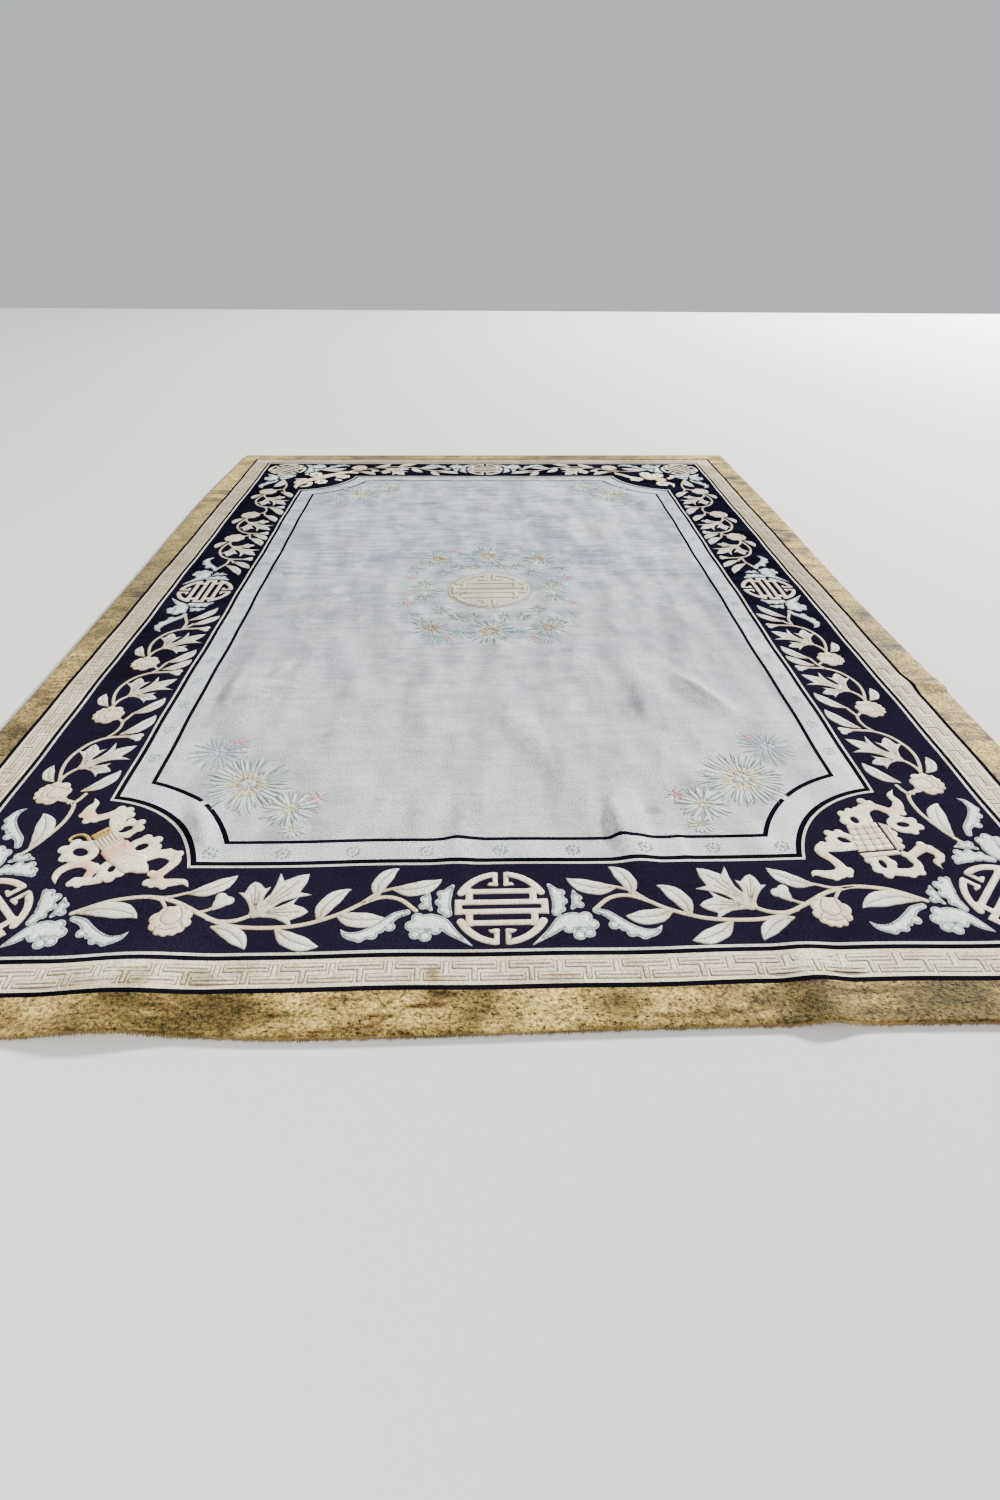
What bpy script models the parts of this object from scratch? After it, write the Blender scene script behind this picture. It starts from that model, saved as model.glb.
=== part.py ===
"""A hand-knotted silk rug lying on a floor, with the soft ridges of a rug that was lately unrolled.

The rug is one piece: its knotted foundation, its pile and its overcast edges are one cloth of even
thickness. It lies flat on its back, and where a ridge lifts it, the back arches up with the top.
Metres, +Z up. The origin is on the floor under the middle of the rug. +X is to the right of someone
standing at the near edge, +Y points away from them.
"""
import math
from collections import namedtuple

import bmesh
import bpy

# Driving sizes, in metres
RUG_WIDTH = 2.74          # the nominal 9 ft
RUG_LENGTH = 3.71         # the nominal 12 ft, a little long
THICKNESS = 0.010         # foundation 3 mm, pile 7 mm
SHOULDER = 0.006          # how far the rounded rim of the pile reaches in
RIM_DROP = 0.0035         # how much lower the pile is at that rim
DRIFT_REACH = 0.10        # the uneven outline dies out this far in from the edge

# The real outline, against the nominal rectangle: how far out the edge stands at each station.
# `along` runs over the length on the long sides and over the width on the short ones.
EdgeStation = namedtuple("EdgeStation", "along out")
LEFT_EDGE = (EdgeStation(-1.86, -0.012), EdgeStation(-0.75, -0.013), EdgeStation(-0.05, -0.006),
             EdgeStation(1.05, 0.010), EdgeStation(1.86, -0.010))
RIGHT_EDGE = (EdgeStation(-1.86, -0.002), EdgeStation(-0.79, 0.002), EdgeStation(-0.10, -0.006),
              EdgeStation(1.05, 0.010), EdgeStation(1.86, 0.008))
NEAR_EDGE = (EdgeStation(-1.37, -0.004), EdgeStation(-0.70, -0.010), EdgeStation(-0.35, 0.005),
             EdgeStation(0.45, -0.004), EdgeStation(1.37, 0.003))
FAR_EDGE = (EdgeStation(-1.37, -0.008), EdgeStation(-0.45, -0.005), EdgeStation(0.65, 0.001),
            EdgeStation(1.37, 0.005))

# Ridges that the cloth is lifted into. The heading is the way a ridge runs, in degrees from +X.
Ridge = namedtuple("Ridge", "x y heading half_length half_width height")
RIDGES = (
    Ridge(-0.715, -1.76, 86, 0.42, 0.170, 0.014),    # broad hump that crosses the near left edge
    Ridge(0.590, -1.80, 88, 0.26, 0.080, 0.011),     # narrow hump at the near right edge
    Ridge(-0.735, -0.71, 84, 0.26, 0.085, 0.016),    # beside the left guard band
    Ridge(-0.600, -0.62, 62, 0.24, 0.080, 0.010),
    Ridge(-0.700, -1.29, 100, 0.20, 0.075, 0.008),   # through the near left notch
    Ridge(-0.085, -1.33, 82, 0.22, 0.065, 0.007),
    Ridge(0.305, -1.33, 92, 0.24, 0.060, 0.012),     # sharpest one, up from the near guard band
    Ridge(0.470, -0.75, 97, 0.30, 0.085, 0.013),
    Ridge(0.590, -0.71, 120, 0.28, 0.070, 0.011),    # slanting, right half of the field
    Ridge(-0.640, -0.12, 88, 0.24, 0.085, 0.008),
    Ridge(0.030, -0.52, 80, 0.22, 0.080, 0.005),
    Ridge(0.560, 0.72, 60, 0.22, 0.090, 0.007),
    Ridge(1.320, -0.70, 178, 0.14, 0.070, 0.009),    # small crease in the right gold band
)

# Grid of the cloth: closer lines where the ridges lie. Each stretch is cut into even steps.
Stretch = namedtuple("Stretch", "start end steps")
COLUMNS = (Stretch(-1.364, -0.88, 7), Stretch(-0.88, -0.52, 9), Stretch(-0.52, 0.18, 9),
           Stretch(0.18, 0.70, 13), Stretch(0.70, 1.364, 9))
ROWS = (Stretch(-1.849, -1.10, 17), Stretch(-1.10, -0.40, 15), Stretch(-0.40, 1.849, 20))


def grid_lines(stretches, half):
    """Positions of the grid lines over one side: the two rims, and the even steps between them."""
    lines = [-half]
    for stretch in stretches:
        step = (stretch.end - stretch.start) / stretch.steps
        lines += [stretch.start + i * step for i in range(stretch.steps)]
    lines += [stretches[-1].end, half]
    return lines


def outline_drift(stations, along):
    """How far out of the nominal rectangle the edge stands, eased from station to station."""
    if along <= stations[0].along:
        return stations[0].out
    for first, second in zip(stations, stations[1:]):
        if along <= second.along:
            share = (along - first.along) / (second.along - first.along)
            ease = share * share * (3 - 2 * share)
            return first.out + (second.out - first.out) * ease
    return stations[-1].out


def fade(distance_in):
    """1 at the edge, 0 once DRIFT_REACH inside it."""
    share = max(0.0, 1 - distance_in / DRIFT_REACH)
    return share * share * (3 - 2 * share)


def placed(x, y):
    """Nominal place to real place: the outline wanders, the middle stays."""
    half_width, half_length = RUG_WIDTH / 2, RUG_LENGTH / 2
    real_x = (x + fade(half_width - x) * outline_drift(RIGHT_EDGE, y)
              - fade(half_width + x) * outline_drift(LEFT_EDGE, y))
    real_y = (y + fade(half_length - y) * outline_drift(FAR_EDGE, x)
              - fade(half_length + y) * outline_drift(NEAR_EDGE, x))
    return real_x, real_y


def bump(share):
    """A smooth crest: 1 at 0, level and 0 at 1 and beyond."""
    return math.cos(math.pi / 2 * share) ** 2 if abs(share) < 1 else 0.0


def lift(x, y):
    """Height of the rug's back above the floor."""
    total = 0.0
    for ridge in RIDGES:
        turn = math.radians(ridge.heading)
        along = (x - ridge.x) * math.cos(turn) + (y - ridge.y) * math.sin(turn)
        across = -(x - ridge.x) * math.sin(turn) + (y - ridge.y) * math.cos(turn)
        total += ridge.height * bump(along / ridge.half_length) * bump(across / ridge.half_width)
    return total


def rug_mesh():
    """The cloth as one closed sheet of even thickness, a little rounded at its rim."""
    columns = grid_lines(COLUMNS, RUG_WIDTH / 2)
    rows = grid_lines(ROWS, RUG_LENGTH / 2)
    cloth = bmesh.new()
    back, top = [], []
    for j, y in enumerate(rows):
        back_row, top_row = [], []
        for i, x in enumerate(columns):
            real_x, real_y = placed(x, y)
            height = lift(real_x, real_y)
            on_rim = i in (0, len(columns) - 1) or j in (0, len(rows) - 1)
            pile = THICKNESS - (RIM_DROP if on_rim else 0.0)
            back_row.append(cloth.verts.new((real_x, real_y, height)))
            top_row.append(cloth.verts.new((real_x, real_y, height + pile)))
        back.append(back_row)
        top.append(top_row)

    last_column, last_row = len(columns) - 1, len(rows) - 1
    for j in range(last_row):
        for i in range(last_column):
            cloth.faces.new((top[j][i], top[j][i + 1], top[j + 1][i + 1], top[j + 1][i]))
            cloth.faces.new((back[j][i], back[j + 1][i], back[j + 1][i + 1], back[j][i + 1]))
    for i in range(last_column):
        cloth.faces.new((back[0][i], back[0][i + 1], top[0][i + 1], top[0][i]))
        cloth.faces.new((back[last_row][i + 1], back[last_row][i], top[last_row][i], top[last_row][i + 1]))
    for j in range(last_row):
        cloth.faces.new((back[j + 1][0], back[j][0], top[j][0], top[j + 1][0]))
        cloth.faces.new((back[j][last_column], back[j + 1][last_column],
                         top[j + 1][last_column], top[j][last_column]))

    mesh = bpy.data.meshes.new("rug")
    cloth.to_mesh(mesh)
    cloth.free()
    return mesh


def silk_pile():
    """Pale grey-blue silk pile."""
    material = bpy.data.materials.new("silk_pile")
    material.use_nodes = True
    shader = material.node_tree.nodes["Principled BSDF"]
    shader.inputs["Base Color"].default_value = (0.50, 0.54, 0.58, 1.0)
    shader.inputs["Roughness"].default_value = 0.55
    shader.inputs["Metallic"].default_value = 0.0
    shader.inputs["Sheen Weight"].default_value = 0.3
    return material


def clear_scene():
    """Remove whatever objects the open file holds."""
    for item in list(bpy.data.objects):
        bpy.data.objects.remove(item, do_unlink=True)


def main():
    """Make the rug."""
    clear_scene()
    rug = bpy.data.objects.new("rug", rug_mesh())
    rug.data.materials.append(silk_pile())
    rug.data.shade_smooth()
    bpy.context.scene.collection.objects.link(rug)


main()
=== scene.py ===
# Silk rug: hand-knotted, with a carved vine border, lying on a floor.
# The cloth is one closed sheet whose top is divided exactly along the woven bands. What the
# carver left proud (stems, leaves, flowers, fretwork) lies on it as closed pieces of low relief.
import math

import bpy
import numpy as np
from mathutils import Matrix, Vector
from mathutils.geometry import delaunay_2d_cdt


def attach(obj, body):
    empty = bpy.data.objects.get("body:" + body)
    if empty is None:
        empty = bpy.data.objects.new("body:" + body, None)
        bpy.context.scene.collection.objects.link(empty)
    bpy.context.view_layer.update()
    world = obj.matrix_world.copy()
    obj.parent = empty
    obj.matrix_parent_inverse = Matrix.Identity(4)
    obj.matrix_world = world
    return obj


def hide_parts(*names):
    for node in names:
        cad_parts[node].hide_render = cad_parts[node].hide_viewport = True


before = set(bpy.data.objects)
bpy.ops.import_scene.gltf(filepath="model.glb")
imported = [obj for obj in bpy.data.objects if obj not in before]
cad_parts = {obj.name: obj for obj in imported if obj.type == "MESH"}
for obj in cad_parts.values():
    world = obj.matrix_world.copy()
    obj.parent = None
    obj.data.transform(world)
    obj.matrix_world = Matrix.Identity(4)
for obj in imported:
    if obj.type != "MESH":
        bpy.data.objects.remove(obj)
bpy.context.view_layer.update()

onCloth = []  # the pieces that lie on the cloth, attached with it to one body at the end


def say(stage):
    print("rug:", stage, flush=True)


# Sizes of the cloth, in metres. The outline and the ridges are those of the CAD sheet.
cloth = {
    "width": 2.74, "length": 3.71, "thick": 0.010, "driftReach": 0.10,
    "gridStep": 0.0135, "backStep": 0.045, "clear": 0.0035, "handWave": 0.0014,
    # How far in and how high each row of the rounded edge lies, and its finish; the last is the back's edge
    "rimRows": ((0.0020, 0.0090, "gold"), (0.0, 0.0062, "gold"), (0.0004, 0.0022, "overcast"),
                (0.0025, 0.0, "overcast")),
}
halfWidth, halfLength = cloth["width"] / 2, cloth["length"] / 2
# (station along the side, how far out the edge stands there)
edgeDrift = {
    "left": ((-1.86, -0.012), (-0.75, -0.013), (-0.05, -0.006), (1.05, 0.010), (1.86, -0.010)),
    "right": ((-1.86, -0.002), (-0.79, 0.002), (-0.10, -0.006), (1.05, 0.010), (1.86, 0.008)),
    "near": ((-1.37, -0.004), (-0.70, -0.010), (-0.35, 0.005), (0.45, -0.004), (1.37, 0.003)),
    "far": ((-1.37, -0.008), (-0.45, -0.005), (0.65, 0.001), (1.37, 0.005)),
}
# (x, y, heading in degrees, half length, half width, height)
ridges = (
    (-0.715, -1.76, 86, 0.42, 0.170, 0.014), (0.590, -1.80, 88, 0.26, 0.080, 0.011),
    (-0.735, -0.71, 84, 0.26, 0.085, 0.016), (-0.600, -0.62, 62, 0.24, 0.080, 0.010),
    (-0.700, -1.29, 100, 0.20, 0.075, 0.008), (-0.085, -1.33, 82, 0.22, 0.065, 0.007),
    (0.305, -1.33, 92, 0.24, 0.060, 0.012), (0.470, -0.75, 97, 0.30, 0.085, 0.013),
    (0.590, -0.71, 120, 0.28, 0.070, 0.011), (-0.640, -0.12, 88, 0.24, 0.085, 0.008),
    (0.030, -0.52, 80, 0.22, 0.080, 0.005), (0.560, 0.72, 60, 0.22, 0.090, 0.007),
    (1.320, -0.70, 178, 0.14, 0.070, 0.009),
)
# Small creases that only the finished cloth shows, in the same columns
creases = (
    (-0.775, -0.70, 92, 0.15, 0.030, 0.010), (-0.655, -0.60, 70, 0.13, 0.028, 0.009),
    (0.278, -1.31, 91, 0.14, 0.030, 0.014), (0.620, -0.73, 122, 0.18, 0.026, 0.009),
    (0.430, -0.80, 92, 0.14, 0.035, 0.008), (-0.090, -1.31, 80, 0.12, 0.026, 0.005),
    (1.335, -0.72, 170, 0.09, 0.022, 0.005), (-0.280, -1.24, 96, 0.08, 0.030, 0.003),
    (0.220, -1.20, 86, 0.14, 0.030, 0.002), (-0.620, -0.15, 90, 0.13, 0.028, 0.003),
    (0.270, -0.50, 92, 0.16, 0.050, 0.003), (0.415, -1.39, 94, 0.07, 0.022, 0.004),
    (-0.690, -1.31, 118, 0.13, 0.030, 0.013), (0.535, 0.74, 66, 0.10, 0.030, 0.004),
    (-0.470, -0.96, 60, 0.20, 0.060, 0.003), (0.080, -0.95, 110, 0.24, 0.070, 0.003),
)


def crest(share):
    return np.where(np.abs(share) < 1, np.cos(math.pi / 2 * np.clip(share, -1, 1)) ** 2, 0.0)


def lift(x, y):  # height of the rug's back above the floor
    total = np.zeros(np.shape(x))
    for rowX, rowY, heading, along, across, height in ridges + creases:
        turn = math.radians(heading)
        far = ((x - rowX) * math.cos(turn) + (y - rowY) * math.sin(turn)) / along
        wide = (-(x - rowX) * math.sin(turn) + (y - rowY) * math.cos(turn)) / across
        total = total + height * crest(far) * crest(wide)
    return total


def driftAt(side, along):
    places, outs = np.array(edgeDrift[side]).T
    index = np.clip(np.searchsorted(places, along) - 1, 0, len(places) - 2)
    share = np.clip((along - places[index]) / (places[index + 1] - places[index]), 0, 1)
    return outs[index] + (outs[index + 1] - outs[index]) * share * share * (3 - 2 * share)


def fade(inward):
    share = np.clip(1 - inward / cloth["driftReach"], 0, 1)
    return share * share * (3 - 2 * share)


def layOut(x, y):  # from the drawn design to where the cloth lies: lines knotted by hand wander
    wave = cloth["handWave"]
    calm = np.clip(np.minimum(halfWidth - np.abs(x), halfLength - np.abs(y)) / 0.03, 0, 1)
    realX = (x + fade(halfWidth - x) * driftAt("right", y) - fade(halfWidth + x) * driftAt("left", y)
             + calm * wave * (np.sin(8.3 * y + 2.1 * x) + 0.6 * np.sin(23.0 * y - 5.0 * x + 1.0)))
    realY = (y + fade(halfLength - y) * driftAt("far", x) - fade(halfLength + y) * driftAt("near", x)
             + calm * wave * (np.sin(7.1 * x - 1.7 * y + 0.5) + 0.6 * np.sin(19.0 * x + 4.0 * y)))
    return realX, realY


def onTop(points):  # design points to the top of the pile
    x, y = layOut(points[:, 0], points[:, 1])
    return np.column_stack([x, y, lift(x, y) + cloth["thick"]])


# Finishes

def linear(code):  # sRGB hex to linear colour
    parts = [int(code[i:i + 2], 16) / 255 for i in (1, 3, 5)]
    return [p / 12.92 if p <= 0.04045 else ((p + 0.055) / 1.055) ** 2.4 for p in parts] + [1.0]


def addNode(tree, kind, settings=()):  # each is the node's own setting, or the value or source of an input
    node = tree.nodes.new(kind)
    for name, value in dict(settings).items():
        if not isinstance(name, int) and name not in node.inputs:
            setattr(node, name, value)
        elif isinstance(value, bpy.types.NodeSocket):
            tree.links.new(value, node.inputs[name])
        else:
            node.inputs[name].default_value = value
    return node


# Every pile finish starts from this one: silk yarn in a short cut pile, 90 knots to the foot. It goes
# from deep to light in clouds, painted sheen of the brushed pile as it catches the light or turns from it,
# and in streaks, from weft rows that took the dye unevenly. The near-end light is painted light, lighter and
# warmer towards the near end, the stains are (colour, amount, millimetres), and the painted shade patches
# (x, y, reach, amount). Blush follows the tint marked on a motif, rim the painted shade of its furrow. The
# grain is the lie of clumps of knots, drawn coarse enough to show, with painted shade between the knots,
# and the wrinkles are the cloth's.
pileLook = {
    "light": "#C9CED6", "deep": "#A9B0BD", "contrast": (0.38, 0.62), "cloudMm": 150,
    "cloudStretch": (0.6, 1.3, 1), "streaks": 0.35, "streakMm": 60, "streakStretch": (0.2, 2.2, 1),
    "warm": "#D3CDCB", "warmAmount": 0.0, "warmFrom": 0.3, "warmTo": -1.3,
    "stains": (), "stainEdge": (0.50, 0.66), "worn": (), "wornColour": "#3E2C14", "paintedShadeRags": 2.2,
    "blush": "#C9A98C", "blushAmount": 0.0, "rim": "#8E8478", "rimAmount": 0.45,
    "speckle": 0.42, "grainMm": 5.0, "grainStretch": (1, 1, 1), "knots": 0.30, "knotMm": 3.4,
    "roughness": 0.65, "sheen": 0.12, "sheenRoughness": 0.35, "gloss": 0.12, "tooth": 0.6, "toothMm": 3.0,
    "wrinkles": 0.0, "wrinkleMm": 50, "foldMm": 240, "creaseMm": 70, "creaseShare": 0.10,
}


def silkPile(name, **changes):
    look = {**pileLook, **changes}
    material = bpy.data.materials.new(name)
    material.use_nodes = True
    tree = material.node_tree
    shader = tree.nodes["Principled BSDF"]
    place = addNode(tree, "ShaderNodeTexCoord").outputs["Object"]

    def noise(millimetres, stretch=(1, 1, 1), detail=3.0, rough=0.55):
        stretched = addNode(tree, "ShaderNodeMapping", {"Scale": stretch, "Vector": place}).outputs[0]
        return addNode(tree, "ShaderNodeTexNoise", {
            "Scale": 1000 / millimetres, "Detail": detail, "Roughness": rough,
            "Vector": stretched}).outputs[0]

    def dyed(under, value, low, high, amount, colour):  # more of a colour as the value goes from low to high
        share = addNode(tree, "ShaderNodeMapRange", {
            "Value": value, "From Min": low, "From Max": high, "To Max": amount}).outputs[0]
        return addNode(tree, "ShaderNodeMix", {
            "data_type": "RGBA", 0: share, 6: under, 7: linear(colour)}).outputs[2]

    # painted sheen: deep and light clouds where the brushed pile catches the light or turns from it
    clouds = noise(look["cloudMm"], look["cloudStretch"], 6.0, 0.62)
    streaks = noise(look["streakMm"], look["streakStretch"], 4.0)
    tone = addNode(tree, "ShaderNodeMix", {
        "data_type": "FLOAT", 0: look["streaks"], 2: clouds, 3: streaks}).outputs[0]
    colour = dyed(linear(look["deep"]), tone, *look["contrast"], 1.0, look["light"])
    # painted light: lighter and warmer towards the near end, along y
    if look["warmAmount"]:
        along = addNode(tree, "ShaderNodeSeparateXYZ", {"Vector": place}).outputs[1]
        colour = dyed(colour, along, look["warmFrom"], look["warmTo"], look["warmAmount"], look["warm"])
    for stain, amount, millimetres in look["stains"]:
        spots = noise(millimetres, detail=5.0, rough=0.62)
        colour = dyed(colour, spots, *look["stainEdge"], amount, stain)
    # painted shade: listed patches darkened towards the shade colour
    for x, y, reach, amount in look["worn"]:  # the streaks make their edges ragged
        away = addNode(tree, "ShaderNodeVectorMath", {"operation": "DISTANCE", 0: place, 1: (x, y, 0.015)})
        ragged = addNode(tree, "ShaderNodeMath", {
            "operation": "MULTIPLY_ADD", 0: streaks, 1: -look["paintedShadeRags"] * reach, 2: away.outputs["Value"]})
        shift = look["paintedShadeRags"] / 2
        colour = dyed(colour, ragged.outputs[0], (1 - shift) * reach, (0.35 - shift) * reach, amount,
                      look["wornColour"])
    # Painted shade: the furrow round a motif darkens towards the rim colour; blush is the motif's own tint
    for mark, tintOrShadeKey in (("blush", "blush"), ("furrow", "rim")):
        if look[tintOrShadeKey + "Amount"]:
            marked = addNode(tree, "ShaderNodeAttribute", {"attribute_name": mark}).outputs["Fac"]
            colour = dyed(colour, marked, 0.0, 1.0, look[tintOrShadeKey + "Amount"], look[tintOrShadeKey])

    grain = noise(look["grainMm"], look["grainStretch"], 2.0, 0.7)
    knots = addNode(tree, "ShaderNodeTexVoronoi", {
        "Scale": 1000 / look["knotMm"], "Randomness": 0.7, "Vector": place}).outputs["Distance"]
    even = 1 - 2 * look["speckle"] + 0.45 * look["knots"]  # keeps the mean of grain and knots at 1
    clumps = addNode(tree, "ShaderNodeMath", {
        "operation": "MULTIPLY_ADD", 0: grain, 1: 4 * look["speckle"], 2: even}).outputs[0]
    # painted shade between the knots: darker towards the edges of each knot's cell
    shade = addNode(tree, "ShaderNodeMath", {
        "operation": "MULTIPLY_ADD", 0: knots, 1: -look["knots"], 2: clumps}).outputs[0]
    uneven = addNode(tree, "ShaderNodeHueSaturation", {"Color": colour, "Value": shade}).outputs[0]

    height = addNode(tree, "ShaderNodeMath", {
        "operation": "MULTIPLY_ADD", 0: knots, 1: -0.5, 2: grain}).outputs[0]
    normal = addNode(tree, "ShaderNodeBump", {
        "Strength": look["tooth"], "Distance": look["toothMm"] / 1000, "Height": height}).outputs[0]
    if look["wrinkles"]:  # finer than the ridges and creases of the mesh
        folds, small = noise(look["foldMm"], (1.5, 0.6, 1), 1.0), noise(look["creaseMm"], (1.3, 0.6, 1), 1.0)
        lie = addNode(tree, "ShaderNodeMath", {
            "operation": "MULTIPLY_ADD", 0: small, 1: look["creaseShare"], 2: folds}).outputs[0]
        normal = addNode(tree, "ShaderNodeBump", {
            "Strength": look["wrinkles"], "Distance": look["wrinkleMm"] / 1000, "Height": lie,
            "Normal": normal}).outputs[0]
    rough = addNode(tree, "ShaderNodeMapRange", {
        "Value": clouds, "To Min": look["roughness"] - 0.08, "To Max": look["roughness"] + 0.08}).outputs[0]
    for label, source in (("Base Color", uneven), ("Normal", normal), ("Roughness", rough)):
        tree.links.new(source, shader.inputs[label])
    shader.inputs["Sheen Weight"].default_value = look["sheen"]
    shader.inputs["Sheen Roughness"].default_value = look["sheenRoughness"]
    shader.inputs["Specular IOR Level"].default_value = look["gloss"]
    return material


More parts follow.
